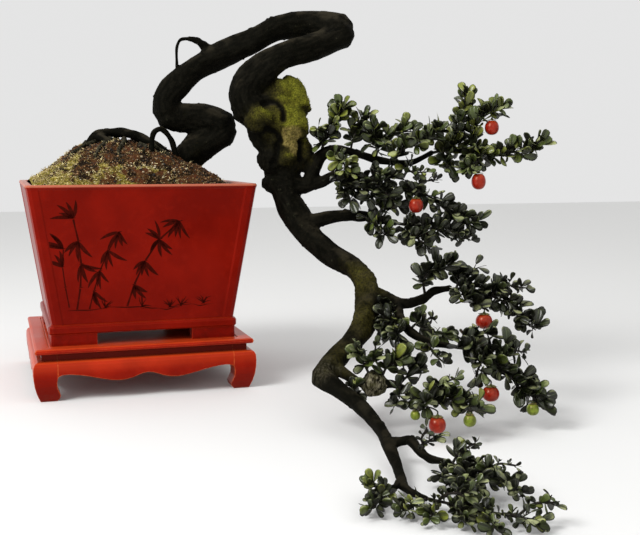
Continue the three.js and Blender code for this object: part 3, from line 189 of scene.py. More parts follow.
class Finish:
    """A material in the making: its nodes, its shader and short ways to the patterns used here."""

    def __init__(self, name, **constants):
        self.material = bpy.data.materials.new(name)
        self.material.use_nodes = True
        self.tree = self.material.node_tree
        self.shader = self.tree.nodes["Principled BSDF"]
        for socket, value in constants.items():
            self.shader.inputs[socket.replace("_", " ")].default_value = value
        self.place = self.node("TexCoord", output=3)
        self.base = None

    def node(self, kind, settings=None, inputs=None, output=0):
        made = self.tree.nodes.new("ShaderNode" + kind)
        for name, value in (settings or {}).items():
            setattr(made, name, value)
        for name, value in (inputs or {}).items():
            if isinstance(value, Value):
                self.tree.links.new(value.socket, made.inputs[name])
            else:
                made.inputs[name].default_value = value
        return Value(self, made.outputs[output])

    def mix(self, mask, one, other):
        """The first colour where the mask is 0 and the second where it is 1. A colour may be a hex code."""
        one, other = (colour(shade) if isinstance(shade, str) else shade for shade in (one, other))
        return self.node("Mix", {"data_type": "RGBA"}, {0: mask, 6: one, 7: other}, output=2)

    def lay(self, mask, over):
        """Lays a colour over the base colour so far, where the mask is 1."""
        self.base = self.mix(mask, self.base, over)

    def axis(self, number):
        """How far along X, Y or Z a point of the object lies."""
        return self.node("SeparateXYZ", None, {0: self.place}, output=number)

    def facing(self, number):
        """How much the surface faces along X, Y or Z."""
        return self.node("SeparateXYZ", None, {0: self.node("NewGeometry", output=1)}, output=number)

    def stretched(self, x, y, z):
        """Places for a pattern that runs long where its number is small."""
        settings = {"operation": "MULTIPLY"}
        return self.node("VectorMath", settings, {0: self.place, 1: (x, y, z)})

    def grain(self, size, detail, rough=0.55, place=None):
        inputs = {"Vector": place or self.place, "Scale": MM ** -1 / size, "Detail": detail}
        return self.node("TexNoise", None, {**inputs, "Roughness": rough})

    def cells(self, size):
        return self.node("TexVoronoi", None, {"Vector": self.place, "Scale": MM ** -1 / size})

    def value(self, name):
        return self.node("Attribute", {"attribute_name": name}, output=2)

    def edge_mask(self, radius):
        """1 along sharp edges and 0 on flat faces."""
        rounded = self.node("Bevel", {"samples": 6}, {"Radius": radius * MM})
        flat = self.node("NewGeometry", output=1)
        agreement = self.node("VectorMath", {"operation": "DOT_PRODUCT"}, {0: rounded, 1: flat}, output=1)
        return (1 - agreement).between(0.0, 0.22)

    def hidden(self, radius):
        """1 deep between close surfaces and 0 out in the open."""
        open_air = self.node("AmbientOcclusion", {"samples": 6}, {"Distance": radius * MM}, output=1)
        return 1 - open_air.between(0.1, 0.85)

    def feed(self, socket, value):
        self.tree.links.new(value.socket, self.shader.inputs[socket])

    def bump(self, height, depth):
        inputs = {"Height": height, "Distance": depth * MM, "Strength": 1.0}
        self.feed("Normal", self.node("Bump", None, inputs))

    def done(self):
        self.feed("Base Color", self.base)
        return self.material


RED_SHEEN = (1.0, 0.08, 0.04, 1.0)
ORANGE_SHEEN = (1.0, 0.6, 0.4, 1.0)
WARM_SHEEN = (1.0, 0.97, 0.72, 1.0)


def lacquer_finish():
    """Red lacquer over wood, rubbed through to orange on the edges, where the orange is also a painted
    highlight; painted light and painted shade are laid on by the way each face looks, by height and in the
    waist.
    """
    finish = Finish("red_lacquer_on_wood", Coat_Weight=0.06, Coat_Roughness=0.15,
                    Specular_IOR_Level=0.45, Specular_Tint=RED_SHEEN)
    wood_grain = finish.grain(9, 5, 0.6, finish.stretched(0.25, 1, 1))
    clouds = finish.grain(60, 3)
    finish.base = finish.mix(clouds.between(0.35, 0.7), "#831104", "#9d1c08")
    finish.lay(wood_grain.between(0.55, 0.85) * 0.35, "#5c0a04")
    # Painted light: light orange on the faces that look left and on those that look up.
    left = 1 - finish.facing(0).between(-1.0, -0.6)
    top = finish.facing(2).between(0.4, 0.95)
    finish.lay((left + top).between(0.0, 1.0) * 0.6, "#c2441a")
    # Painted shade: darker red on the faces that look right and on those that look down.
    away = finish.facing(0).between(0.3, 1.0) + 0.7 * (1 - finish.facing(2).between(-0.8, -0.1))
    finish.lay(away.between(0.0, 1.2) * 0.6, "#560b05")
    height = finish.axis(2)
    # Painted shade: darker towards the feet of the stand.
    lower = 1 - height.between(*LOWER_STAND)
    finish.lay(lower * 0.65, "#4c0a05")
    chips = finish.grain(3.5, 6, 0.7)
    # Orange on the sharp edges: partly lacquer rubbed through, partly a painted highlight.
    worn_edge_and_highlight = finish.edge_mask(2.8) * chips.between(0.36, 0.58)
    finish.lay(worn_edge_and_highlight * 0.9, "#e06a34")
    specks = finish.cells(5).between(0.0, 0.09)
    finish.lay((1 - specks) * 0.4, "#320804")
    # Painted shade in the recessed waist below the top.
    recess = height.between(*WAIST_FOOT) * (1 - height.between(*WAIST_TOP))
    finish.lay(recess * 0.85, "#260503")
    lit = height.between(*APRON_LIT) * (1 - height.between(*APRON_TOP))
    finish.lay(lit * 0.2, "#e0532c")
    dust = (1 - height.between(*FOOT_DUST)) * finish.grain(8, 5).between(0.45, 0.75)
    finish.lay(dust * 0.45, "#5c2a1c")
    finish.feed("Roughness", 0.27 + 0.2 * clouds + 0.25 * worn_edge_and_highlight)
    finish.bump(wood_grain * 0.3 + chips * 0.2 + finish.grain(35, 2) * 0.8, 0.35)
    return finish.done()


def glaze_finish():
    """Deep red glaze, with painted light on the left faces, edges paler partly as thin glaze and partly as
    painted highlight, and a painted highlight along the rim.
    """
    finish = Finish("deep_red_glaze", Coat_Weight=0.03, Coat_Roughness=0.1,
                    Specular_IOR_Level=0.35, Specular_Tint=RED_SHEEN)
    clouds = finish.grain(95, 3)
    drops = finish.grain(14, 4)
    finish.base = finish.mix(clouds.between(0.3, 0.7), "#640a04", "#7a1006")
    finish.lay(drops.between(0.5, 0.8) * 0.25, "#8f1a0a")
    # Painted light: the faces that look left are lighter.
    left = 1 - finish.facing(0).between(-1.0, -0.6)
    finish.lay(left * 0.5, "#8c1c08")
    # Paler orange on the sharp edges: partly glaze run thin, partly a painted highlight.
    thin = finish.edge_mask(3.0)
    finish.lay(thin * 0.65, "#bd3a18")
    # Painted highlight: a pale pink line along the rim.
    rim = finish.axis(2).between(*POT_RIM)
    finish.lay(rim * 0.45, "#d98a6c")
    foot = 1 - finish.axis(2).between(*POT_FOOT)
    finish.lay(foot * finish.grain(10, 5).between(0.4, 0.8) * 0.7, "#430c06")
    pits = finish.cells(4).between(0.0, 0.07)
    finish.lay((1 - pits) * 0.5, "#240603")
    finish.feed("Roughness", 0.25 + 0.18 * drops)
    finish.bump(clouds * 1.2 + drops * 0.4 + pits * 0.15, 0.4)
    return finish.done()


def ink_finish():
    """Dark brown underglaze brushwork, thinner where the brush ran dry."""
    finish = Finish("brown_brushwork", Roughness=0.4, Specular_IOR_Level=0.35, Specular_Tint=RED_SHEEN)
    dry = finish.grain(3, 5, 0.7, finish.stretched(1, 1, 0.3))
    finish.base = finish.mix(dry.between(0.45, 0.75), "#1f0604", "#460a05")
    finish.bump(dry, 0.1)
    return finish.done()


def bark_finish():
    """Near-black fissured bark, with moss and old pale wood where the piece says so."""
    finish = Finish("dark_mossy_bark", Specular_IOR_Level=0.06, Specular_Tint=WARM_SHEEN)
    along = finish.value("along")
    ridges = finish.value("ridge")
    moss = finish.value("moss")
    pale = finish.value("pale")
    fine = finish.grain(3.2, 6, 0.65)
    broad = finish.grain(28, 3)
    rings = finish.node("TexNoise", {"noise_dimensions": "1D"}, {"W": along, "Scale": 180.0, "Detail": 3.0})
    finish.base = finish.mix(ridges.between(0.3, 0.8), "#030302", "#0e0d09")
    finish.lay(fine.between(0.5, 0.78) * 0.4, "#282219")
    # Painted light: grey-brown on the faces that look up.
    sky = finish.facing(2).between(0.3, 1.0)
    finish.lay(sky * broad.between(0.4, 0.62) * 0.45, "#423c2f")
    lichen = finish.grain(11, 5, 0.7).between(0.62, 0.7) * broad.between(0.45, 0.6)
    finish.lay(lichen * 0.3, "#4a4a38")
    finish.lay(rings.between(0.6, 0.75) * 0.3, "#060505")
    # Painted shade: the wood grows darker towards the floor.
    low_wood_shade = 1 - finish.axis(2).between(*LOW_WOOD_SHADE)
    finish.lay(low_wood_shade * 0.52, "#070704")
    streaks = finish.grain(3.4, 4, 0.6, finish.stretched(1, 1, 0.22))
    old = finish.mix(streaks.between(0.4, 0.7), "#1f1b11", "#968f76")
    old = finish.mix(finish.grain(9, 3).between(0.42, 0.62) * 0.6, old, "#464429")
    earthy = finish.mix(fine.between(0.3, 0.7), "#41371a", "#8f8048")
    earthy = finish.mix((1 - finish.cells(3.2).between(0.06, 0.16)) * 0.6, earthy, "#b5b08a")
    film = (moss + broad * 0.5).between(0.3, 0.9)
    finish.lay(film * 0.6, finish.mix(fine.between(0.3, 0.7), "#1d1b0b", "#5a5420"))
    tufts = finish.grain(2.4, 5, 0.7)
    patches = (moss + finish.grain(13, 5, 0.65) * 0.8).between(0.85, 1.15)
    green = finish.mix(tufts.between(0.35, 0.7), "#37380f", "#86852a")
    green = finish.mix(finish.grain(15, 3).between(0.5, 0.66) * 0.6, green, "#4a4416")
    finish.lay(patches, green)
    brown = finish.value("brown")
    finish.lay((brown + 0.5 * finish.grain(8, 4, 0.65)).between(0.55, 0.95), earthy)
    bare = pale * (ridges + fine).between(0.55, 1.0)
    finish.lay(bare, old)
    # Painted shade: near black deep in creases and between close limbs.
    finish.lay(finish.hidden(20) * 0.8, "#020201")
    finish.feed("Roughness", 0.72 + 0.22 * fine + 0.06 * patches)
    finish.bump(fine * 0.7 + ridges * 0.5 + tufts * patches * 1.4, 0.9)
    return finish.done()


def moss_finish(name, dark, light):
    """Short springy moss."""
    finish = Finish(name, Roughness=0.95, Specular_IOR_Level=0.2)
    tone = finish.value("tone")
    finish.base = finish.mix(tone, dark, light)
    finish.lay(finish.grain(9, 4).between(0.4, 0.7) * 0.5, dark)
    finish.bump(finish.grain(0.8, 3), 0.3)
    return finish.done()


def leaf_finish():
    """Leathery glossy leaf with a pale midrib, arched side veins and a duller underside."""
    finish = Finish("leathery_leaf", Specular_IOR_Level=0.24, Specular_Tint=WARM_SHEEN, Coat_Roughness=0.2)
    along = finish.value("along")
    across = abs(finish.value("across"))
    tone = finish.value("tone")
    under = finish.value("under")
    midrib = 1 - across.between(0.02, 0.09)
    arch = along * 9 - across * 2.6 - 0.6 * along * across
    vein = 1 - abs(arch.math("FRACT", arch) - 0.5).between(0.02, 0.12)
    vein = vein * along.between(0.04, 0.2) * (1 - along.between(0.82, 0.95))
    mottle = finish.grain(5, 4)
    finish.base = finish.mix(tone.between(0.0, 0.5), "#080c05", "#1d260f")
    finish.lay(tone.between(0.4, 0.8), "#505f22")
    finish.lay(tone.between(0.82, 1.0), "#8a9234")
    finish.lay(mottle.between(0.45, 0.75) * 0.5, "#0d1306")
    finish.lay(vein * 0.25, "#3d4a24")
    finish.lay(midrib * 0.5, "#66724a")
    finish.lay(across.between(0.86, 1.0) * 0.3, "#465026")
    spots = 1 - finish.cells(4.5).between(0.05, 0.16)
    finish.lay(spots * tone.between(0.3, 0.6) * 0.6, "#33260f")
    finish.lay(under * 0.6, "#323a20")
    up = finish.facing(2)
    # Painted sheen: pale grey-green laid in patches on the leaves that face up.
    bloom_and_sheen = up.between(0.5, 0.98) * finish.grain(23, 3).between(0.38, 0.58)
    finish.lay(bloom_and_sheen * (0.62 + 0.38 * tone), "#b7bc86")
    shade = 1 - up.between(-0.75, 0.65)
    finish.lay(shade * 0.95, "#020301")
    # Painted shade: near black deep inside the foliage, where the coat is taken off too.
    deep_shade = finish.hidden(32)
    finish.lay(deep_shade * 0.94, "#020201")
    finish.feed("Roughness", 0.26 + 0.25 * mottle + 0.3 * under)
    finish.feed("Coat Weight", 0.62 * (1 - under) * (1 - deep_shade))
    finish.bump(mottle * 0.3 - vein * 0.5 - midrib * 0.6, 0.35)
    return finish.done()


def twig_finish():
    """Young grey-brown bark with pale breathing pores."""
    finish = Finish("young_twig_bark", Roughness=0.75, Specular_IOR_Level=0.3)
    fine = finish.grain(2.2, 5, 0.65)
    finish.base = finish.mix(fine.between(0.35, 0.7), "#0d0b08", "#2a231a")
    pores = 1 - finish.cells(2.6).between(0.08, 0.2)
    finish.lay(pores * 0.5, "#4c4332")
    finish.lay(finish.grain(20, 3).between(0.5, 0.7) * 0.4, "#39401f")
    finish.bump(fine, 0.4)
    return finish.done()


def calyx_finish():
    """The dry green-brown lobes on top of a fruit."""
    finish = Finish("drying_calyx", Roughness=0.7)
    along = finish.value("along")
    across = abs(finish.value("across"))
    finish.base = finish.mix(along.between(0.1, 0.8), "#4a4f1e", "#7a6a2c")
    finish.lay(along.between(0.75, 1.0), "#3a2814")
    ribs = 1 - abs(across.math("FRACT", across * 4) - 0.5).between(0.05, 0.2)
    finish.lay(ribs * 0.35, "#94905a")
    finish.lay(finish.grain(2, 4).between(0.5, 0.7) * 0.4, "#2e2410")
    finish.bump(ribs * 0.6 + finish.grain(1, 4), 0.25)
    return finish.done()


def fruit_finish(name, deep, bright, blush):
    """Waxy skin, lighter round the calyx, with fine freckles and a faint bloom."""
    finish = Finish(name, Specular_IOR_Level=0.5, Specular_Tint=ORANGE_SHEEN,
                    Coat_Weight=0.08, Coat_Roughness=0.12)
    along = finish.value("along")
    clouds = finish.grain(9, 4)
    finish.base = finish.mix(clouds.between(0.35, 0.7), deep, bright)
    finish.lay((along + 0.35 * clouds).between(0.75, 1.15) * 0.7, blush)
    freckles = 1 - finish.cells(1.5).between(0.08, 0.22)
    finish.lay(freckles * 0.3, blush)
    finish.lay((1 - along.between(0.01, 0.04)) * 0.9, "#2a1408")
    bloom_and_sheen = finish.grain(5, 5, 0.7).between(0.5, 0.8)
    finish.lay(bloom_and_sheen * 0.06, "#ffb890")
    finish.feed("Roughness", 0.28 + 0.22 * bloom_and_sheen)
    finish.bump(finish.grain(6, 3) * 0.8 + freckles * 0.1, 0.3)
    return finish.done()


def soil_finish():
    """Red-brown grit, with moss where the piece says so."""
    finish = Finish("gritty_soil", Roughness=0.95, Specular_IOR_Level=0.1)
    moss = finish.value("moss")
    crumbs = finish.cells(2.6)
    fine = finish.grain(1.6, 6, 0.7)
    broad = finish.grain(22, 4)
    finish.base = finish.mix(fine.between(0.4, 0.68), "#060402", "#472c14")
    finish.lay(crumbs.between(0.15, 0.5) * 0.4, "#6b4826")
    finish.lay(broad.between(0.5, 0.62) * fine.between(0.35, 0.65) * 0.7, "#552315")
    # Painted shade: broad near-black patches stand for shaded hollows.
    finish.lay((1 - broad.between(0.44, 0.53)) * 0.88, "#060301")
    finish.lay(finish.grain(3, 5, 0.7).between(0.58, 0.67) * 0.75, "#a08458")
    green = finish.mix(finish.grain(2, 5, 0.7).between(0.35, 0.65), "#241b06", "#968632")
    green = finish.mix(finish.grain(7, 4, 0.7).between(0.5, 0.65) * 0.8, green, "#cdbd80")
    finish.lay((moss + fine * 0.6).between(0.68, 0.95), green)
    # Painted shade: near black in the hollows between crumbs, grit and moss.
    finish.lay(finish.hidden(13) * 0.95, "#040201")
    finish.bump(crumbs * 0.9 + fine, 1.2)
    return finish.done()


def stone_finish(name, dark, light):
    """A grain of grit or a pebble."""
    finish = Finish(name, Roughness=0.8)
    tone = finish.value("tone")
    finish.base = finish.mix(tone, dark, light)
    finish.lay(finish.grain(1.5, 5, 0.7).between(0.45, 0.7) * 0.4, dark)
    finish.bump(finish.grain(0.9, 4), 0.3)
    return finish.done()


def screen_finish():
    finish = Finish("black_mesh_plastic", Specular_IOR_Level=0.4)
    weave = finish.grain(1.2, 3)
    finish.base = finish.mix(weave, "#0c0c0c", "#242424")
    finish.feed("Roughness", 0.55 + 0.2 * weave)
    finish.bump(weave, 0.1)
    return finish.done()


# Pieces

class Body:
    """Points and faces gathered for one piece, with a few values that its finishes read."""

    def __init__(self, *names):
        self.points = []
        self.faces = []
        self.finish_of_face = []
        self.values = {name: [] for name in names}
        self.count = 0

    def add(self, points, faces, finish=0, **values):
        points = np.asarray(points, float).reshape(-1, 3)
        self.points.append(points)
        self.faces.extend([[i + self.count for i in face] for face in faces])
        self.finish_of_face.extend([finish] * len(faces))
        for name, store in self.values.items():
            store.append(np.broadcast_to(values.get(name, 0.0), len(points)))
        self.count += len(points)

    def mesh(self, name):
        mesh = bpy.data.meshes.new(name)
        mesh.from_pydata(np.concatenate(self.points).tolist(), [], self.faces)
        mesh.polygons.foreach_set("material_index", self.finish_of_face)
        mesh.polygons.foreach_set("use_smooth", [True] * len(self.faces))
        for value, store in self.values.items():
            keep_value(mesh, value, np.concatenate(store))
        return mesh

    def piece(self, name, slot, finishes, replaced=()):
        """The body as one piece of the object, in place of the nodes that it replaces."""
        piece = put(name, self.mesh(name))
        for finish in finishes:
            piece.data.materials.append(finish)
        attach(piece, "root")
        if replaced:
            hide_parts(*replaced)
        return piece


def put(name, data):
    thing = bpy.data.objects.new(name, data)
    bpy.context.scene.collection.objects.link(thing)
    return thing


def keep_value(mesh, name, numbers):
    attribute = mesh.attributes.new(name, "FLOAT", "POINT")
    attribute.data.foreach_set("value", np.asarray(numbers, np.float32))


def kept_value(mesh, name):
    numbers = np.zeros(len(mesh.vertices))
    mesh.attributes[name].data.foreach_get("value", numbers)
    return numbers


def vectors_of(mesh, kind):
    """The places ("co") or the directions ("normal") of a mesh's points."""
    numbers = np.zeros(len(mesh.vertices) * 3)
    mesh.vertices.foreach_get(kind, numbers)
    return numbers.reshape(-1, 3)


def unit(vector):
    return vector / max(np.linalg.norm(vector), 1e-12)


def square_to(direction):
    helper = UP if abs(direction[2]) < 0.9 else np.array([1.0, 0.0, 0.0])
    return unit(np.cross(direction, helper))


def smooth_path(stops, steps):
    """A curve through stops of (x, y, z, radius), as places in metres, directions and radii."""
    knots = [placed(*stop[:3]) for stop in stops]
    knots = [2 * knots[0] - knots[1], *knots, 2 * knots[-1] - knots[-2]]
    places, directions, radii = [], [], []
    for i in range(1, len(knots) - 2):
        before, start, end, after = knots[i - 1:i + 3]
        gap0, gap1, gap2 = [
            math.sqrt(np.linalg.norm(b - a)) for a, b in ((before, start), (start, end), (end, after))
        ]
        leave = ((start - before) / gap0 - (end - before) / (gap0 + gap1) + (end - start) / gap1) * gap1
        arrive = ((end - start) / gap1 - (after - start) / (gap1 + gap2) + (after - end) / gap2) * gap1
        for step in range(steps + (i == len(knots) - 3)):
            t = step / steps
            a, b = 2 * t ** 3 - 3 * t ** 2 + 1, t ** 3 - 2 * t ** 2 + t
            c, d = -2 * t ** 3 + 3 * t ** 2, t ** 3 - t ** 2
            places.append(a * start + b * leave + c * end + d * arrive)
            slope = (6 * t * t - 6 * t) * (start - end) + (3 * t * t - 4 * t + 1) * leave
            directions.append(unit(slope + (3 * t * t - 2 * t) * arrive))
            radii.append(MM * (stops[i - 1][3] * (1 - t) + stops[i][3] * t))
    return np.array(places), np.array(directions), np.array(radii)


def frames_along(directions):
    """For each direction, one that is square to it, turning as little as possible."""
    across = [square_to(directions[0])]
    for direction in directions[1:]:
        across.append(unit(across[-1] - direction * np.dot(across[-1], direction)))
    return np.array(across)


def lengths_along(places):
    """How far along a line of places each of them lies."""
    return np.concatenate([[0], np.cumsum(np.linalg.norm(np.diff(places, axis=0), axis=1))])


def tube_faces(rings, sides):
    faces = []
    for ring in range(rings - 1):
        for i in range(sides):
            j = (i + 1) % sides
            low, high = ring * sides, (ring + 1) * sides
            faces.append([low + i, low + j, high + j, high + i])
    faces.append(list(range(sides))[::-1])
    faces.append([(rings - 1) * sides + i for i in range(sides)])
    return faces


def add_tube(body, places, directions, radii, sides, relief=0.0, steps_apart=1.0, domed=True, **values):
    """A round limb. Relief gives it the slow swellings of old bark."""
    turns = np.arange(len(places)) * steps_apart
    if domed:
        before = places[0] - DOME_REACH * radii[0] * directions[0]
        after = places[-1] + DOME_REACH * radii[-1] * directions[-1]
        places = [before, *places, after]
        directions = [directions[0], *directions, directions[-1]]
        radii = [DOME_WIDTH * radii[0], *radii, DOME_WIDTH * radii[-1]]
        turns = [turns[0], *turns, turns[-1]]
    across = frames_along(directions)
    angles = np.arange(sides) / sides * 2 * math.pi
    points = []
    for place, direction, first, radius, turn in zip(places, directions, across, radii, turns):
        second = np.cross(direction, first)
        swelling = np.sin(2 * angles + 1.3 * turn) + np.sin(3 * angles - 0.9 * turn)
        reach = (radius * (1 + relief * swelling))[:, None]
        points.append(place + reach * (np.cos(angles)[:, None] * first + np.sin(angles)[:, None] * second))
    body.add(np.concatenate(points), tube_faces(len(places), sides), **values)


# Wood: the routes of trunk, roots and branches. Each stop is (x, y, z, radius).

TRUNK = [
    [(40, 10, 260, 16), (62, -15, 305, 24), (84, -36, 350, 32), (98, -44, 398, 28), (128, -58, 424, 27),
     (160, -68, 446, 29)],
    [(158, -67, 450, 29), (134, -58, 466, 26), (104, -47, 468, 25), (78, -40, 468, 27), (64, -38, 476, 28)],
    [(64, -38, 478, 28), (62, -41, 500, 24), (79, -44, 524, 23), (108, -50, 552, 22), (151, -61, 576, 23),
     (203, -75, 599, 22), (258, -89, 627, 22), (312, -112, 632, 24), (355, -146, 622, 27)],
    [(354, -152, 612, 27), (322, -157, 597, 23), (284, -156, 584, 22), (242, -146, 569, 24),
     (202, -138, 538, 28), (184, -136, 505, 33), (194, -136, 478, 37)],
    [(228, -134, 462, 42), (244, -142, 415, 38), (250, -139, 370, 31), (253, -151, 327, 24),
     (265, -170, 292, 24), (284, -196, 258, 22), (310, -227, 232, 19), (335, -260, 214, 18),
     (344, -295, 192, 19), (334, -337, 160, 19), (308, -381, 131, 19), (272, -415, 109, 16),
     (242, -436, 92, 16), (217, -455, 77, 17)],
    [(217, -455, 76, 17), (230, -491, 64, 13), (245, -523, 51, 11), (252, -569, 40, 10), (250, -617, 33, 9),
     (242, -663, 24, 8.5), (236, -699, 17, 8), (225, -744, 12, 6.5), (217, -775, 9, 5.5)],
]
BURLS = [
    ((240, -138, 457), (50, 44, 60)),
    ((263, -140, 496), (30, 28, 40)),
    ((228, -150, 398), (26, 26, 28)),
    ((232, -143, 356), (20, 20, 22)),
    ((283, -502, 71), (19, 17, 19)),
    ((281, -153, 402), (19, 20, 30)),
    ((262, -168, 452), (24, 24, 24)),
    ((243, -150, 508), (22, 20, 22)),
    ((246, -166, 396), (17, 18, 15)),
    ((199, -171, 461), (26, 20, 23)),
    ((273, -150, 490), (22, 20, 18)),
]
ROOTS = [
    [(-110, 25, 385, 5), (-82, 15, 408, 7), (-55, 10, 438, 8), (-22, 0, 442, 8), (10, -10, 437, 8),
     (32, -25, 424, 8), (62, -40, 400, 10), (85, -42, 375, 10)],
    [(-55, 8, 436, 8), (-42, -22, 425, 7), (-30, -52, 402, 6), (-24, -72, 378, 5)],
    [(22, -76, 385, 5), (28, -72, 412, 4.5), (33, -70, 440, 4.5), (46, -74, 447, 4.5), (61, -75, 431, 4.5),
     (71, -74, 402, 5), (76, -66, 380, 6)],
    [(92, -40, 370, 14), (112, 20, 352, 11), (126, 78, 322, 7), (120, 120, 290, 4)],
    [(84, -30, 345, 14), (10, 40, 322, 9), (-70, 80, 290, 5)],
]
DEAD_SHOOT = [
    [(146, -58, 584, 9), (126, -60, 594, 7.5), (113, -60, 603, 5.5), (100, -56, 606, 4)],
    [(102, -56, 606, 3.4), (86, -55, 604, 2.6), (79, -55, 590, 2.4), (79, -52, 562, 2.4), (82, -46, 538, 3)],
]
# Roots that crawl over the heaped soil, as places of (x, y)
SURFACE_ROOTS = [
    [(-36, -6), (-50, -34), (-62, -64), (-70, -96)], [(-12, -14), (-16, -46), (-30, -76), (-28, -104)],
    [(-58, 4), (-86, -12), (-110, -36), (-122, -66)], [(14, -30), (20, -60), (10, -92)],
    [(-74, 14), (-100, 32), (-124, 62)], [(34, -48), (54, -78), (62, -112)],
    [(10, 30), (-2, 72), (-14, 116)], [(84, 26), (102, 62), (100, 104)], [(-24, 4), (-60, 40), (-84, 84)],
]
BRANCHES = [
    [(256, -148, 357, 17), (284, -162, 349, 14), (296, -168, 376, 12), (307, -174, 400, 10.5),
     (328, -185, 411, 9), (362, -197, 405, 7), (403, -212, 393, 6), (449, -227, 388, 5), (489, -238, 406, 4)],
    [(284, -162, 350, 12), (306, -174, 354, 10.5), (329, -185, 366, 9.5), (357, -195, 362, 8.5),
     (393, -214, 348, 6.5), (424, -230, 337, 5)],
    [(268, -174, 275, 17), (300, -188, 290, 13), (340, -205, 298, 10.5), (370, -216, 297, 8.5),
     (396, -231, 291, 6.5), (420, -244, 286, 5)],
    [(340, -305, 178, 16), (368, -327, 169, 11.5), (386, -344, 162, 9.5), (402, -360, 164, 8),
     (417, -374, 173, 7), (430, -387, 186, 6), (451, -399, 191, 4.5)],
    [(384, -344, 161, 9), (370, -388, 145, 7.5), (371, -428, 129, 6.5), (387, -464, 119, 5.5),
     (409, -489, 116, 4.2)],
    [(238, -438, 88, 11), (252, -468, 78, 8), (266, -491, 70, 7), (283, -502, 68, 7), (301, -517, 72, 5.5),
     (320, -530, 66, 4.5), (338, -542, 61, 3.6)],
    [(245, -650, 27, 8), (257, -667, 32, 6.5), (265, -681, 37, 6.5), (265, -706, 31, 5.8),
     (269, -731, 27, 5), (277, -758, 30, 3.6)],
    [(218, -770, 9, 5), (218, -800, 10, 4), (224, -823, 11, 3)],
    [(222, -752, 12, 5), (206, -775, 12, 3.8), (194, -783, 13, 3)],
]

# Where moss grows on the wood: the middle of a patch, its reach and how thick it grows
MOSS_ON_WOOD = [
    ((270, -165, 505), 42, 0.95), ((262, -178, 462), 46, 1.0), ((288, -160, 470), 40, 0.8),
    ((222, -185, 452), 34, 0.45), ((256, -180, 400), 30, 0.45), ((340, -300, 190), 48, 0.42),
    ((312, -375, 135), 48, 0.42), ((255, -440, 88), 45, 0.3), ((199, -190, 461), 30, 0.6),
    ((246, -178, 393), 22, 0.5), ((275, -150, 490), 34, 0.9), ((230, -140, 520), 30, 0.35),
    ((120, -60, 400), 26, 0.3),
]
PALE_WOOD = [((283, -515, 74), 27, 0.9), ((222, -460, 82), 20, 0.25)]
BROWN_WOOD = [((250, -188, 432), 19, 1.0), ((262, -182, 414), 15, 0.8)]
# Creases across the front of the burl, as stops of (x, y, z)
CREASES = [
    [(200, -190, 488), (215, -190, 491), (227, -190, 486), (234, -190, 476), (235, -190, 462)],
    [(206, -190, 445), (222, -188, 440), (231, -186, 426)],
    [(226, -182, 420), (226, -178, 402), (221, -172, 388)],
    [(268, -180, 424), (270, -172, 395)],
]
# Where the wood is knotted, told in the same way
KNOTTED_WOOD = [
    ((255, -145, 460), 62, 1.0), ((230, -145, 385), 42, 1.0), ((283, -505, 74), 28, 0.6),
    ((340, -295, 190), 55, 0.6), ((318, -365, 145), 45, 0.6), ((95, -44, 415), 60, 0.45),
    ((195, -136, 515), 45, 0.5), ((284, -162, 352), 26, 0.8), ((-30, 0, 430), 90, 0.5),
]


def add_swelling(body, centre, size):
    """A lumpy ball of wood."""
    columns, rows = 28, 18
    places = []
    for row in range(1, rows):
        tilt = math.pi * row / rows
        for column in range(columns):
            turn = 2 * math.pi * column / columns
            x, y, z = -math.cos(turn) * math.sin(tilt), math.cos(tilt), math.sin(turn) * math.sin(tilt)
            lumps = 1 + 0.07 * (math.sin(4 * x + 3 * z) + math.sin(5 * y - 4 * z))
            places.append(placed(*[c + p * s * lumps for c, p, s in zip(centre, (x, y, z), size)]))
    body.add(places, tube_faces(rows - 1, columns))


def reach_of(patches, places):
    """How strongly any of the patches covers each place, from 0 to 1."""
    most = np.zeros(len(places))
    for centre, reach, strength in patches:
        away = np.linalg.norm(places - placed(*centre), axis=1) / (reach * MM)
        most = np.maximum(most, strength * np.clip(1.5 - away, 0, 1))
    return most


def crease_depth(places):
    """How deep a crease of the burl runs at each place, from 0 to 1."""
    depth = np.zeros(len(places))
    for stops in CREASES:
        for spot in smooth_path([(*stop, 1) for stop in stops], 6)[0]:
            beside, _ = beside_sight(places, spot)
            near = np.linalg.norm(places - spot, axis=1) < CREASE_REACH * MM
            depth = np.maximum(depth, near * np.clip(1.4 - beside / (CREASE_WIDTH * MM), 0, 1))
    return depth


def remeshed(mesh, voxel, rounds):
    """A mesh run together into one skin and smoothed."""
    rough = put("rough", mesh)
    joined = rough.modifiers.new("skin", "REMESH")
    joined.mode = "VOXEL"
    joined.voxel_size = voxel
    smoothed = rough.modifiers.new("smooth", "SMOOTH")
    smoothed.iterations = rounds
    smoothed.factor = 0.5
    bpy.context.view_layer.update()
    seen = rough.evaluated_get(bpy.context.evaluated_depsgraph_get())
    skin = bpy.data.meshes.new_from_object(seen)
    bpy.data.objects.remove(rough)
    return skin


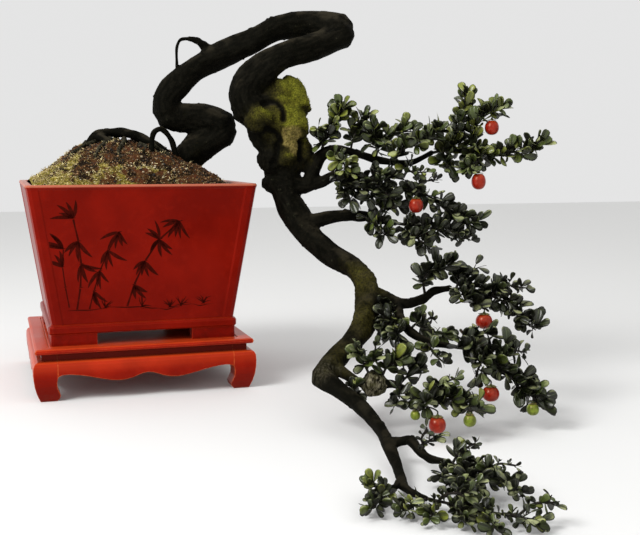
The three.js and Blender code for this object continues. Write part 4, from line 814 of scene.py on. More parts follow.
def grown_wood():
    """Trunk, roots and branches as one skin of bark."""
    rough = Body()
    routes = []
    thick = [(stops, 24, BARK_RELIEF, 2) for stops in TRUNK]
    limbs = [(stops, 16, 0.5 * BARK_RELIEF, 1) for stops in BRANCHES]
    thin = [(stops, 14, 0.0, 1) for stops in ROOTS + DEAD_SHOOT]
    for stops, sides, relief, coarse in thick + limbs + thin:
        steps = 8
        places, directions, radii = smooth_path(stops, steps)
        add_tube(rough, places, directions, radii, sides, relief, coarse / steps)
        routes.append((places, directions, radii))
    for centre, size in BURLS:
        add_swelling(rough, centre, size)
    skin = remeshed(rough.mesh("rough_wood"), WOOD_VOXEL, 4)
    carve_bark(skin, routes)
    body = Body("along", "ridge", "moss", "pale", "brown")
    for stops in DEAD_SHOOT + [stops[-4:] for stops in BRANCHES] + ROOTS[:3]:
        places, directions, radii = smooth_path(stops, 7)
        add_tube(body, places, directions, radii * 1.04, 12, 0.09, 0.6, along=0.3, ridge=0.4)
    for route in SURFACE_ROOTS:
        radii = np.linspace(5.5, 1.8, len(route))
        stops = [(x, y, soil_height(x, y) + 0.25 * radius, radius) for (x, y), radius in zip(route, radii)]
        places, directions, radii = smooth_path(stops, 6)
        add_tube(body, places, directions, radii, 9, 0.14, 0.8, along=0.3, ridge=0.5, pale=0.22)
    add_skin(body, skin)
    return body.piece("trunk_and_branches", "bark", [bark_finish()], ["trunk"])


def add_skin(body, skin):
    """Takes a finished mesh with its values into a body."""
    faces = [list(face.vertices) for face in skin.polygons]
    values = {name: kept_value(skin, name) for name in body.values}
    body.add(vectors_of(skin, "co"), faces, **values)


def carve_bark(skin, routes):
    """Fissures that run along each limb, knots, and the lie of the moss."""
    places, normals = vectors_of(skin, "co"), vectors_of(skin, "normal")
    samples, owners = [], []
    for route, (spots, directions, radii) in enumerate(routes):
        lengths = lengths_along(spots)
        across = frames_along(directions)
        for i, spot in enumerate(spots):
            samples.append(spot)
            owners.append((route, lengths[i], directions[i], across[i], radii[i]))
    tree = KDTree(len(samples))
    for i, spot in enumerate(samples):
        tree.insert(spot, i)
    tree.balance()
    along, ridge, push = (np.zeros(len(places)) for _ in range(3))
    knotted = reach_of(KNOTTED_WOOD, places)
    for i, place in enumerate(places):
        _, nearest, _ = tree.find(place)
        route, length, direction, first, radius = owners[nearest]
        offset = place - samples[nearest]
        run = length + float(np.dot(offset, direction))
        second = np.cross(direction, first)
        round_limb = float(np.dot(offset, first)), float(np.dot(offset, second))
        bark_place = Vector((FURROW_STRETCH * run + 0.7 * route, *round_limb))
        furrow = noise.noise(bark_place / FURROW) + 0.5 * noise.noise(bark_place / FINE_FURROW)
        knots = noise.noise(Vector(place) / KNOT)
        along[i] = run + 0.7 * route
        ridge[i] = 0.5 + 0.45 * furrow
        share = min(1.0, radius / STOUT_LIMB)
        push[i] = share * (0.55 * furrow + 0.9 * knots) * MM
        if knotted[i] > 0:
            lumps = noise.noise(Vector(place) / LUMP) + 0.6 * noise.noise(Vector(place) / FINE_LUMP)
            push[i] += knotted[i] * (4.2 * abs(lumps) - 1.0) * MM
        spurs = noise.noise(Vector(place) / SPUR + Vector((7, 3, 1)))
        push[i] += share * max(0.0, spurs - 0.5) * 7 * MM
    crease = crease_depth(places)
    moss = reach_of(MOSS_ON_WOOD, places) * np.clip(0.75 + 0.5 * normals[:, 2], 0.3, 1) * (1 - crease)
    places = places + normals * (push + (MOSS_THICKNESS * moss - CREASE_DEPTH * crease) * MM)[:, None]
    skin.vertices.foreach_set("co", places.ravel())
    skin.update()
    keep_value(skin, "along", along)
    keep_value(skin, "ridge", ridge * (1 - crease))
    keep_value(skin, "moss", moss)
    keep_value(skin, "pale", reach_of(PALE_WOOD, places))
    keep_value(skin, "brown", reach_of(BROWN_WOOD, places) * (1 - crease))


def add_tuft(body, place, lean, height, width, tone):
    """A moss shoot: a narrow three-sided cone."""
    first = square_to(lean)
    second = np.cross(lean, first)
    base = [place + width * (math.cos(a) * first + math.sin(a) * second) for a in (0, 2.1, 4.2)]
    body.add([*base, place + height * lean], [[0, 1, 3], [1, 2, 3], [2, 0, 3]], tone=tone)


def moss_on_wood(wood):
    """Moss shoots scattered over the burl."""
    places, normals = vectors_of(wood.data, "co"), vectors_of(wood.data, "normal")
    moss = kept_value(wood.data, "moss")
    thick = np.flatnonzero((moss > 0.45) & (places[:, 2] > BURL_FOOT))
    body = Body("tone")
    for i in chance.choice(thick, min(BURL_TUFTS, len(thick)), replace=False):
        if noise.noise(Vector(places[i]) / 0.011) < -0.12:
            continue
        lean = unit(normals[i] + chance.normal(0, 0.35, 3) + 0.2 * UP)
        height = (1.4 + 2.2 * moss[i] * chance.random()) * MM
        tone = np.clip(0.5 + 0.9 * noise.noise(Vector(places[i]) / 0.009) + chance.normal(0, 0.15), 0, 1)
        add_tuft(body, places[i] - 0.3 * MM * normals[i], lean, height, 0.55 * MM, tone)
    body.piece("moss_on_burl", "bark", [moss_finish("burl_moss", "#33340f", "#8b8a2c")])


# The tiers whose leaves are younger and lighter, and by how much
LIGHT_TIERS = {"tier1": 0.52, "tier5_stub": 0.34, "tier5_upper": 0.3, "tier5_outer": 0.3, "tier7": 0.38}

# Foliage. The stops of each shoot are (x, y, z, radius), and the first shoot of a spray is its stem.

SPRAYS = [
    ("tier1_left_spray", 25, [
        [(306, -174, 400, 4), (313, -178, 428, 3), (327, -185, 455, 2.4), (341, -192, 478, 1.8)],
        [(311, -177, 415, 2.6), (301, -182, 430, 2.2), (300, -184, 446, 1.8)]]),
    ("tier1_left_upper_spray", 24, [
        [(354, -194, 407, 3), (358, -203, 434, 2.4), (372, -210, 463, 1.8)]]),
    ("tier1_left_lower_spray", 24, [
        [(331, -186, 411, 3), (332, -215, 392, 2.4), (338, -230, 375, 1.8)]]),
    ("tier1_middle_spray", 25, [
        [(395, -209, 395, 3.4), (407, -199, 418, 2.8), (432, -195, 435, 2.2), (457, -196, 446, 1.8)],
        [(402, -203, 408, 2.8), (390, -216, 426, 2.2), (386, -226, 444, 1.8)]]),
    ("tier1_front_spray", 25, [
        [(416, -216, 390, 3.4), (426, -254, 410, 2.8), (452, -271, 425, 2.2), (481, -279, 442, 1.8)]]),
    ("tier1_hanging_spray", 24, [
        [(442, -225, 388, 3), (445, -254, 373, 2.4), (464, -270, 373, 1.8)]]),
    ("tier1_outer_spray", 25, [
        [(486, -237, 405, 3.6), (533, -256, 414, 3.2), (577, -277, 400, 2.8), (604, -291, 405, 2.4),
         (633, -305, 410, 2), (652, -315, 421, 1.8)],
        [(520, -252, 412, 3), (533, -247, 445, 2.6), (547, -242, 480, 2.2), (551, -240, 507, 1.8)],
        [(550, -262, 412, 2.8), (555, -270, 448, 2.4), (571, -277, 473, 2), (592, -289, 480, 1.8)],
        [(555, -266, 409, 2.6), (549, -295, 393, 2.2), (531, -302, 382, 1.8)],
        [(505, -244, 411, 2.6), (501, -270, 393, 2.2), (499, -282, 377, 1.8)]]),
    ("tier2_inner_spray", 25, [
        [(329, -185, 366, 3.4), (334, -220, 353, 2.6), (339, -235, 329, 1.8)],
        [(332, -208, 358, 2.8), (348, -224, 350, 2.4), (366, -242, 338, 1.8)]]),
    ("tier2_middle_spray", 25, [
        [(373, -203, 355, 3.2), (387, -225, 366, 2.4), (409, -243, 363, 1.8)],
        [(383, -218, 362, 2.8), (388, -246, 348, 2.2), (402, -264, 330, 1.8)]]),
    ("tier2_outer_spray", 25, [
        [(421, -229, 338, 3.8), (447, -258, 342, 3.2), (472, -278, 329, 2.8), (498, -295, 304, 2.4),
         (534, -314, 286, 1.8)],
        [(443, -251, 342, 2.8), (469, -242, 355, 2.2), (496, -240, 359, 1.8)]]),
    ("tier2_hanging_spray", 25, [
        [(368, -216, 300, 3.4), (377, -253, 285, 2.6), (389, -269, 269, 1.8)]]),
    ("tier2_back_spray", 25, [
        [(388, -227, 294, 3.2), (412, -208, 310, 2.4), (436, -205, 313, 1.8)]]),
    ("tier2_lower_spray", 25, [
        [(417, -243, 286, 3.8), (451, -277, 280, 3.2), (488, -301, 274, 2.6), (522, -324, 260, 1.8)],
        [(431, -260, 285, 2.8), (433, -294, 267, 2.2), (447, -311, 253, 1.8)]]),
    ("tier3_inner_spray", 26, [
        [(418, -376, 176, 3.4), (412, -385, 204, 2.8), (426, -392, 222, 2.2), (445, -403, 230, 1.8)]]),
    ("tier3_outer_spray", 26, [
        [(448, -397, 190, 3.8), (484, -420, 189, 3.4), (517, -443, 175, 2.8), (536, -456, 160, 2.4),
         (559, -473, 133, 1.8)],
        [(459, -404, 191, 2.8), (472, -398, 210, 2.2), (496, -399, 220, 1.8)],
        [(467, -409, 190, 2.8), (461, -435, 178, 2.2), (471, -450, 169, 1.8)],
        [(503, -435, 181, 2.8), (528, -434, 196, 2.2), (561, -440, 192, 1.8)]]),
    ("tier4_inner_spray", 27, [
        [(372, -376, 148, 3.4), (352, -389, 143, 2.6), (338, -392, 122, 1.8)],
        [(358, -386, 145, 2.8), (349, -408, 136, 2.4), (350, -432, 122, 1.8)]]),
    ("tier4_trunk_spray", 25, [
        [(362, -328, 168, 3.2), (356, -352, 152, 2.4), (350, -366, 158, 1.8)]]),
    ("tier4_upper_spray", 27, [
        [(370, -424, 131, 3.2), (387, -421, 143, 2.4), (410, -422, 148, 1.8)],
        [(382, -422, 140, 2.6), (396, -437, 132, 2.2), (416, -446, 127, 1.8)]]),
    ("tier4_lower_spray", 26, [
        [(385, -461, 120, 3.2), (384, -487, 106, 2.4), (396, -498, 93, 1.8)]]),
    ("tier4_outer_spray", 27, [
        [(407, -487, 116, 3.6), (438, -515, 112, 3.2), (459, -528, 102, 2.8), (476, -542, 80, 2.4),
         (493, -554, 66, 2.2), (511, -574, 42, 1.8)],
        [(418, -498, 114, 2.8), (438, -492, 127, 2.2), (463, -494, 135, 1.8)],
        [(442, -517, 110, 2.8), (433, -542, 98, 2.2), (425, -546, 84, 1.8)],
        [(462, -531, 100, 2.8), (485, -530, 113, 2.2), (512, -529, 108, 1.8)]]),
    ("tier5_stub_spray", 24, [
        [(278, -500, 80, 3), (268, -499, 100, 2.4), (261, -500, 115, 1.8)],
        [(272, -499, 92, 2.6), (280, -506, 112, 2.2), (282, -509, 126, 1.8)]]),
    ("tier5_upper_spray", 25, [
        [(291, -508, 78, 3), (299, -514, 98, 2.4), (314, -523, 108, 1.8)]]),
    ("tier5_middle_spray", 25, [
        [(311, -524, 70, 2.8), (331, -521, 85, 2.4), (353, -522, 93, 1.8)],
        [(316, -524, 74, 2.6), (306, -536, 62, 2.2), (298, -544, 48, 1.8)]]),
    ("tier5_outer_spray", 26, [
        [(336, -540, 62, 3.2), (361, -560, 57, 2.8), (378, -577, 55, 2.2), (400, -590, 47, 1.8)],
        [(352, -553, 58, 2.6), (367, -555, 75, 2.2), (388, -555, 83, 1.8)],
        [(347, -549, 59, 2.6), (340, -565, 55, 2.2), (330, -576, 50, 1.8)]]),
    ("tier5_twig", 20, [
        [(257, -477, 75, 2.6), (253, -488, 64, 2.2), (256, -500, 57, 1.8)]]),
    ("tier6_inner_spray", 18, [
        [(265, -713, 30, 2.8), (268, -722, 44, 2.4), (280, -730, 54, 1.8)],
        [(267, -719, 40, 2.4), (259, -728, 52, 2.2), (262, -736, 66, 1.8)]]),
    ("tier6_outer_spray", 19, [
        [(275, -755, 29, 3.2), (295, -791, 29, 2.8), (311, -817, 27, 2.4), (320, -842, 24, 2.2),
         (326, -865, 17, 1.8)],
        [(282, -767, 29, 2.6), (293, -767, 43, 2.2), (309, -771, 53, 1.8)],
        [(279, -762, 29, 2.6), (270, -774, 20, 2.2), (268, -790, 12, 1.8)],
        [(288, -778, 29, 2.6), (279, -807, 27, 2.2), (283, -825, 23, 1.8)],
        [(305, -807, 28, 2.6), (322, -809, 38, 2.2), (338, -819, 38, 1.8)]]),
    ("tier7_left_spray", 17, [
        [(197, -782, 13, 2.8), (179, -786, 18, 2.4), (164, -786, 21, 1.8)],
        [(190, -783, 14, 2.4), (172, -811, 12, 2), (154, -832, 11, 1.8)]]),
    ("tier7_outer_spray", 17, [
        [(223, -820, 11, 2.8), (241, -849, 12, 2.4), (264, -873, 11, 2.2), (288, -897, 10, 2),
         (310, -915, 9, 1.8)],
        [(222, -824, 11, 2.4), (205, -838, 12, 2.2), (186, -850, 11, 1.8)],
        [(229, -833, 11, 2.4), (218, -858, 11, 2.2), (205, -877, 10, 1.8)],
        [(231, -838, 12, 2.4), (234, -858, 27, 2.2), (246, -876, 33, 1.8)],
        [(239, -848, 11, 2.4), (252, -847, 19, 2.2), (272, -847, 24, 1.8)],
        [(241, -852, 12, 2.4), (240, -876, 13, 2.2), (236, -900, 11, 1.8)],
        [(262, -872, 11, 2.4), (262, -898, 13, 2.2), (258, -925, 11, 1.8)],
        [(284, -893, 11, 2.4), (290, -912, 15, 2.2), (298, -934, 13, 1.8)],
        [(296, -903, 10, 2.4), (314, -908, 24, 2.2), (334, -916, 26, 1.8)]]),
]

# Each fruit: node, the spray it hangs from, middle, radius, height, ripe
FRUITS = [
    ("fruit_top", "tier1_outer_spray", (580, -283, 449), 12, 26, True),
    ("fruit_top_hanging", "tier1_outer_spray", (541, -314, 358), 12, 28, True),
    ("fruit_second_tier", "tier2_outer_spray", (436, -294, 318), 12, 25, True),
    ("fruit_third_tier", "tier3_outer_spray", (480, -461, 146), 13, 24, True),
    ("fruit_fourth_tier", "tier4_outer_spray", (444, -556, 56), 12.5, 23, True),
    ("fruit_fifth_tier", "tier5_outer_spray", (342, -594, 28), 12, 24, True),
    ("fruit_unripe_small", "tier5_outer_spray", (318, -572, 38), 7, 14, False),
    ("fruit_unripe_lower", "tier5_outer_spray", (385, -608, 34), 9, 18, False),
    ("fruit_unripe_outer", "tier4_outer_spray", (500, -580, 34), 9, 18, False),
]

# The open gaps between the tiers: a place in each gap and how far the leaves keep from the line of
# sight through it, so that the tiers read as separate from the front
TIER_GAPS = [
    ((462, -250, 371), 19), ((492, -250, 360), 19), ((428, -410, 151), 20), ((464, -410, 147), 20),
    ((330, -360, 107), 15), ((378, -520, 96), 18), ((412, -520, 84), 18), ((292, -520, 60), 10),
    ((300, -545, 26), 17), ((326, -560, 6), 17), ((566, -470, 106), 24), ((368, -880, 26), 14),
    ((137, -800, 25), 16), ((302, -185, 465), 14), ((551, -240, 537), 14), ((548, -290, 237), 24),
    ((578, -400, 204), 22), ((402, -600, 2), 14), ((340, -790, 45), 15), ((362, -790, 34), 15),
    ((236, -800, 12), 12), ((256, -800, 4), 12), ((282, -900, 18), 12), ((312, -900, 18), 12),
]

LEAF_ROWS = np.array([0.0, 0.14, 0.34, 0.55, 0.74, 0.9, 1.0])
LEAF_COLUMNS = np.array([-1.0, -0.5, 0.0, 0.5, 1.0])
LEAF_ALONG = np.repeat(LEAF_ROWS, len(LEAF_COLUMNS))
LEAF_ACROSS = np.tile(LEAF_COLUMNS, len(LEAF_ROWS))
# Widest past the middle, with a round tip
LEAF_OUTLINE = LEAF_ALONG ** 0.75 * np.sqrt(1.06 - LEAF_ALONG ** 3.2) / 0.65 + 0.03
# The points inside the rim, which the underside has once more
LEAF_INNER = [i for i in range(len(LEAF_ALONG)) if 0 < LEAF_ALONG[i] < 1 and abs(LEAF_ACROSS[i]) < 1]


def leaf_point(row, column):
    return row * len(LEAF_COLUMNS) + column


# The points of a leaf that are tried against what is already there
LEAF_MIDDLE = leaf_point(3, 2)
LEAF_SPINE = [leaf_point(row, 2) for row in (2, 4, 6)]
LEAF_SIDES = [leaf_point(3, 0), leaf_point(3, 4)]
LEAF_TRIED = [LEAF_MIDDLE, *LEAF_SPINE, *LEAF_SIDES]
LEAF_SEEN = [*LEAF_TRIED, leaf_point(5, 2)]


def leaf_faces():
    """The upper side and the underside, which share the points of the rim."""
    wide = len(LEAF_COLUMNS)
    under = {upper: len(LEAF_ALONG) + number for number, upper in enumerate(LEAF_INNER)}
    faces = []
    for row in range(len(LEAF_ROWS) - 1):
        for column in range(wide - 1):
            corner = leaf_point(row, column)
            face = [corner, corner + 1, corner + wide + 1, corner + wide]
            faces.append(face)
            faces.append([under.get(i, i) for i in face[::-1]])
    return faces


LEAF_FACES = leaf_faces()
LEAF_VALUES = {
    "along": np.concatenate([LEAF_ALONG, LEAF_ALONG[LEAF_INNER]]),
    "across": np.concatenate([LEAF_ACROSS, LEAF_ACROSS[LEAF_INNER]]),
    "under": np.concatenate([np.zeros(len(LEAF_ALONG)), np.ones(len(LEAF_INNER))]),
}


def leaf_points(root, direction, face, length, width, cup, droop, twist=0.0):
    """The upper side of one leaf, and the way its blade faces at each point."""
    side = np.cross(direction, face)
    turn = (twist * LEAF_ALONG)[:, None]
    across = side * np.cos(turn) + face * np.sin(turn)
    rise = face * np.cos(turn) - side * np.sin(turn)
    half = 0.5 * width * LEAF_OUTLINE
    lift = cup * half * LEAF_ACROSS ** 2 - droop * length * LEAF_ALONG ** 2
    points = root + direction * (length * LEAF_ALONG)[:, None]
    points = points + across * (half * LEAF_ACROSS)[:, None] + rise * lift[:, None]
    return points, rise


def add_leaf(body, points, rise, thickness, tone, finish=0):
    under = points - rise * (thickness * (1.05 - LEAF_ACROSS ** 2))[:, None]
    body.add(np.concatenate([points, under[LEAF_INNER]]), LEAF_FACES, finish, tone=tone, **LEAF_VALUES)


def beside_sight(places, centre):
    """How far places are from the line of sight to a centre, and which are nearer than it."""
    ray = centre - EYE
    reach = np.linalg.norm(ray)
    runs = (places - EYE) @ (ray / reach)
    beside = np.linalg.norm(places - EYE - runs[:, None] * ray / reach, axis=1)
    return beside, runs < reach


class Canopy:
    """What a new leaf has to stay clear of: wood, fruit, the floor and the leaves so far."""

    def __init__(self, wood):
        self.wood = BVHTree.FromPolygons(
            [vertex.co for vertex in wood.data.vertices], [face.vertices[:] for face in wood.data.polygons])
        self.fruit = [
            (placed(*centre), max(radius, height / 2) * MM) for _, _, centre, radius, height, _ in FRUITS
        ]
        self.cells = {}
        self.gaps = [(placed(*centre), reach * MM) for centre, reach in TIER_GAPS]

    def cell(self, place):
        return tuple(int(math.floor(part / CELL)) for part in place)

    def crowded(self, place, face):
        """Whether another leaf is too near, and more so when it faces the same way."""
        x, y, z = self.cell(place)
        near = [(x + i, y + j, z + k) for i in (-1, 0, 1) for j in (-1, 0, 1) for k in (-1, 0, 1)]
        return any(
            np.linalg.norm(place - other) < (SAME_WAY_GAP if face.dot(other_face) > 0.6 else OTHER_WAY_GAP)
            for cell in near for other, other_face in self.cells.get(cell, ())
        )

    def in_gap(self, places):
        """Whether any of the places lies on a line of sight through a gap between tiers."""
        return any(beside_sight(places, centre)[0].min() < reach for centre, reach in self.gaps)

    def covers_fruit(self, places):
        """Whether any of the places is in front of a fruit."""
        for centre, radius in self.fruit:
            beside, nearer = beside_sight(places, centre)
            if (nearer & (beside < 0.85 * radius)).any():
                return True
        return False

    def clear(self, points, face, gap_kept):
        """Whether a leaf fits. One that does is kept in mind for the leaves after it."""
        middle = points[LEAF_MIDDLE]
        if points[:, 2].min() < FLOOR_GAP or self.crowded(middle, face):
            return False
        if self.covers_fruit(points[LEAF_SEEN]) or (gap_kept and self.in_gap(points[LEAF_SEEN])):
            return False
        for place in points[LEAF_TRIED]:
            if any(np.linalg.norm(place - centre) < radius + WOOD_GAP for centre, radius in self.fruit):
                return False
            hit, normal, _, away = self.wood.find_nearest(place)
            if away < WOOD_GAP or (Vector(place) - hit).dot(normal) < 0:
                return False
        self.cells.setdefault(self.cell(middle), []).append((middle, face))
        return True


def grow_leaf(body, canopy, root, direction, along, length, tone):
    """Tries a leaf a few times, each time turned a little, and adds the first that is clear."""
    gap_kept = not canopy.in_gap(root[None, :])
    if not gap_kept and chance.random() < GAP_SKIPPED:
        return
    for attempt in range(LEAF_TRIES):
        way = unit(direction + chance.normal(0, 0.12 + 0.15 * attempt, 3) + 0.22 * attempt * UP)
        face = 0.3 * along + LIGHT + chance.normal(0, 0.65, 3)
        face = unit(face - way * np.dot(face, way))
        size = length * chance.uniform(*LEAF_SHARE) * (1 - 0.07 * attempt) * (1.0 if gap_kept else GAP_LEAF)
        width = size * LEAF_WIDTH * chance.uniform(0.8, 1.12)
        cup, droop = chance.uniform(-0.3, 0.55), chance.uniform(-0.04, 0.36)
        points, rise = leaf_points(root, way, face, size, width, cup, droop, chance.normal(0, 0.4))
        if canopy.clear(points, face, gap_kept):
            add_leaf(body, points, rise, LEAF_THICKNESS, tone + chance.normal(0, 0.13))
            return


def turned_round(direction, angle):
    """A direction square to the given one, turned round it."""
    first = square_to(direction)
    return math.cos(angle) * first + math.sin(angle) * np.cross(direction, first)


def grow_twig(body, canopy, start, along, outward, length, leaf, tone, number):
    """A short twig with leaves spiralling up it and one at its end."""
    if canopy.in_gap(start[None, :]):
        length *= GAP_TWIG
    tip_way = unit(0.7 * along + 0.6 * outward + 0.35 * UP)
    way = unit(outward + 0.45 * along + 0.1 * UP)
    shares = np.linspace(0, 1, TWIG_STOPS)[:, None]
    places = start + length * (way * (shares - 0.35 * shares ** 2) + tip_way * 0.55 * shares ** 2)
    if places[:, 2].min() < 4 * MM:
        places[:, 2] += np.linspace(0, 1, TWIG_STOPS) * (4 * MM - places[:, 2].min())
    ways = np.array([unit(step) for step in np.gradient(places, axis=0)])
    add_tube(body, places, ways, np.linspace(1.05, 0.6, TWIG_STOPS) * MM, 5, domed=False, finish=1)
    count = max(2, int(length / LEAF_SPACING))
    for i in range(count):
        share = 0.3 + 0.7 * i / count
        spot = places[0] + (places[-1] - places[0]) * share
        spot = places[int(round(share * (TWIG_STOPS - 1)))] * 0.7 + spot * 0.3
        swing = turned_round(ways[2], i * GOLDEN_ANGLE + number)
        direction = unit(0.9 * swing + 0.55 * ways[-1] + 0.15 * UP)
        grow_leaf(body, canopy, spot, direction, ways[-1], leaf * (0.8 + 0.2 * share), tone)
    grow_leaf(body, canopy, places[-1], unit(ways[-1] + 0.15 * UP), ways[-1], leaf, tone)


def grow_calyx(body, top, radius):
    """Four broad lobes spread over the top of a fruit."""
    for lobe in range(4):
        way = turned_round(UP, lobe * math.pi / 2 + 0.6)
        direction = unit(way + 0.12 * UP)
        face = unit(UP - direction * np.dot(UP, direction))
        length = 0.72 * radius
        points, rise = leaf_points(top - 1.2 * MM * UP, direction, face, length, 0.95 * length, -0.2, 0.22)
        add_leaf(body, points, rise, 0.5 * MM, 0.5, finish=2)
    hub = np.array([top + rise * MM * UP for rise in (-1.6, 0.4, 1.6)])
    add_tube(body, hub, np.array([UP] * 3), np.array([2.6, 2.1, 1.2]) * MM, 10, domed=False, finish=2)


def grow_stalk(body, samples, centre, radius, height):
    """The curved stalk of a fruit, from the nearest stretch of shoot above it."""
    top = placed(*centre) + (0.5 * height + 1.6) * MM * UP
    above = [place for place in samples if place[2] > top[2] - 1 * MM] or list(samples)
    start = min(above, key=lambda place: np.linalg.norm(place - top))
    over = top + 5 * MM * UP
    stops = [start, 0.45 * start + 0.55 * over + 2 * MM * UP, over, top]
    in_mm = [(*((stop - STAND_CENTRE) / MM), 1.1) for stop in stops]
    places, directions, radii = smooth_path(in_mm, 5)
    add_tube(body, places, directions, radii, 8, domed=False, finish=1)
    grow_calyx(body, top, radius * MM)


def spray(name, leaf, shoots, canopy, finishes):
    """Shoots with twigs and leaves spiralling up them, and the stalks of their fruits."""
    body = Body("along", "across", "tone", "under")
    samples = []
    young = chance.uniform(0.1, 0.35)
    young += sum(lift for tier, lift in LIGHT_TIERS.items() if name.startswith(tier))
    routes = [smooth_path(stops, 12) for stops in shoots]
    for places, directions, radii in routes:
        add_tube(body, places, directions, radii * 0.72, 8, finish=1)
        samples.extend(places)
    for _, stem, centre, radius, height, _ in FRUITS:
        if stem == name:
            grow_stalk(body, samples, centre, radius, height)
    for order, (places, directions, _) in enumerate(routes):
        lengths = lengths_along(places)
        run, number = (14 if order == 0 else 6) * MM, order
        while run < lengths[-1]:
            i = int(np.searchsorted(lengths, run))
            along = directions[min(i, len(directions) - 1)]
            outward = unit(turned_round(along, number * GOLDEN_ANGLE) + 0.1 * LIGHT)
            tone = np.clip(young + chance.normal(0, 0.2) + 0.5 * (chance.random() < 0.1), 0, 1)
            twig = chance.uniform(*TWIG_LENGTH) * MM
            spot = places[min(i, len(places) - 1)]
            grow_twig(body, canopy, spot, along, outward, twig, leaf * MM, tone, number)
            run += TWIG_SPACING * chance.uniform(0.8, 1.2)
            number += 1
        grow_twig(body, canopy, places[-1], directions[-1], directions[-1], 5 * MM, leaf * MM, young, number)
    body.piece(name + "_grown", "leaf", finishes, [name])


def fruit(name, centre, radius, height, finish, slot):
    """A slightly squared ball with a dimple under the calyx and a dark tip below."""
    columns, rows = 36, 24
    body = Body("along")
    x, y, z = centre
    points, along = [], []
    for row in range(rows + 1):
        tilt = -math.pi / 2 + math.pi * row / rows
        reach = radius * max(math.cos(tilt), 0.012) ** 0.82 * (1 - 0.04 * math.sin(tilt))
        rise = 0.5 * height * math.sin(tilt)
        if tilt > 0:
            rise -= 0.1 * height * math.exp(-(reach / (0.35 * radius)) ** 2)
        for column in range(columns):
            turn = 2 * math.pi * column / columns
            squared = (abs(math.cos(turn)) ** 2.35 + abs(math.sin(turn)) ** 2.35) ** (-1 / 2.35)
            ribs = 1 + 0.012 * math.cos(4 * turn) * math.cos(tilt)
            out = reach * squared * ribs * 0.97
            points.append(placed(x + out * math.cos(turn), y + out * math.sin(turn), z + rise))
            along.append(row / rows)
    body.add(points, tube_faces(rows + 1, columns), along=np.array(along))
    body.piece(name + "_ripe_form", slot, [finish], [name])


# Soil

def mound_top(x, y):
    """Height of the heaped soil at a place in millimetres, before moss and grit."""
    along_x = min(1.0, abs(x - MOUND_PEAK_X) / (SOIL_EDGE_HALF - 2.6))
    along_y = min(1.0, abs(y) / (SOIL_EDGE_HALF - 2.6))
    dome = (1 - along_x ** MOUND_POWER) * (1 - along_y ** MOUND_POWER)
    grit = 2 * math.sin(x / 17 + 1) * math.cos(y / 13) + 1.5 * math.sin(x / 9 - y / 11)
    return SOIL_EDGE + MOUND_HEIGHT * dome + grit * dome


def soil_noise(x, y, layer, size):
    return noise.noise(Vector((x / size, y / size, layer)))


def moss_on_soil(x, y):
    """How thick the moss lies: most near the rim to the left and the front, with bare grit on top."""
    rim = max(abs(x), abs(y)) / SOIL_EDGE_HALF
    lie = 0.58 * rim ** 4 - 0.0024 * x - 0.0007 * y - 0.14
    return float(np.clip(lie + 0.7 * soil_noise(x, y, 0.3, 30) + 0.4 * soil_noise(x, y, 0.9, 10), 0, 1))


def soil_height(x, y):
    edge = min(1.0, (SOIL_EDGE_HALF - max(abs(x), abs(y))) / 12)
    heap = HEAP_HEIGHT * math.exp(-((x - HEAP_X) / HEAP_REACH[0]) ** 2 - (y / HEAP_REACH[1]) ** 2)
    hollow = HOLLOW_DEPTH * math.exp(-((x - HOLLOW_X) / HOLLOW_REACH) ** 2)
    clods = 5 * soil_noise(x, y, 0.5, 24) + 4 * abs(soil_noise(x, y, 0.7, 11))
    cushions = abs(soil_noise(x, y, 0.1, 13)) + 0.5 * abs(soil_noise(x, y, 0.2, 6))
    grit = soil_noise(x, y, 0.4, 3.2)
    moss = moss_on_soil(x, y)
    crust = moss * (3.2 - 5.5 * cushions) + (1 - moss) * 2.2 * grit
    return mound_top(x, y) + edge * (heap - hollow + clods + crust)


def on_soil(x, y, lift=0.0):
    return placed(x, y, soil_height(x, y) + lift)


def somewhere_on_soil(margin):
    """A random (x, y) that keeps a margin from the rim."""
    return chance.uniform(-SOIL_EDGE_HALF + margin, SOIL_EDGE_HALF - margin, 2)


def heaped_soil():
    """The skin of the soil with its moss cushions, closed below the rim."""
    body = Body("moss")
    span = np.linspace(-SOIL_EDGE_HALF, SOIL_EDGE_HALF, SOIL_STEPS)
    points = [on_soil(x, y) for y in span for x in span]
    moss = np.array([moss_on_soil(x, y) for y in span for x in span])
    faces = []
    for row in range(SOIL_STEPS - 1):
        for column in range(SOIL_STEPS - 1):
            corner = row * SOIL_STEPS + column
            faces.append([corner, corner + 1, corner + SOIL_STEPS + 1, corner + SOIL_STEPS])
    body.add(points, faces, moss=moss)
    rims = []
    for half, z in ((SOIL_EDGE_HALF, SOIL_EDGE), (SOIL_EDGE_HALF - 4, SOIL_EDGE - 26)):
        rims.append([placed(u * half, v * half, z) for u, v in ((-1, -1), (1, -1), (1, 1), (-1, 1))])
    skirt = [[i, (i + 1) % 4, 4 + (i + 1) % 4, 4 + i] for i in range(4)]
    body.add(rims[0] + rims[1], [face[::-1] for face in skirt] + [[4, 5, 6, 7][::-1]])
    body.piece("heaped_soil", "soil", [soil_finish()], ["soil"])


def soil_moss():
    """Moss shoots that stand up out of the cushions."""
    body = Body("tone")
    for _ in range(MOSS_TRIES):
        x, y = somewhere_on_soil(3)
        moss = moss_on_soil(x, y)
        if moss < 0.45 or chance.random() > moss:
            continue
        lean = unit(UP + chance.normal(0, 0.3, 3))
        tone = np.clip(0.45 + 0.9 * soil_noise(x, y, 0.6, 7) + chance.normal(0, 0.2), 0, 1)
        add_tuft(body, on_soil(x, y, -0.4), lean, chance.uniform(1.8, 4.4) * MM, 0.6 * MM, tone)
    body.piece("moss_on_soil", "soil", [moss_finish("soil_moss", "#2c2206", "#e6d474")])


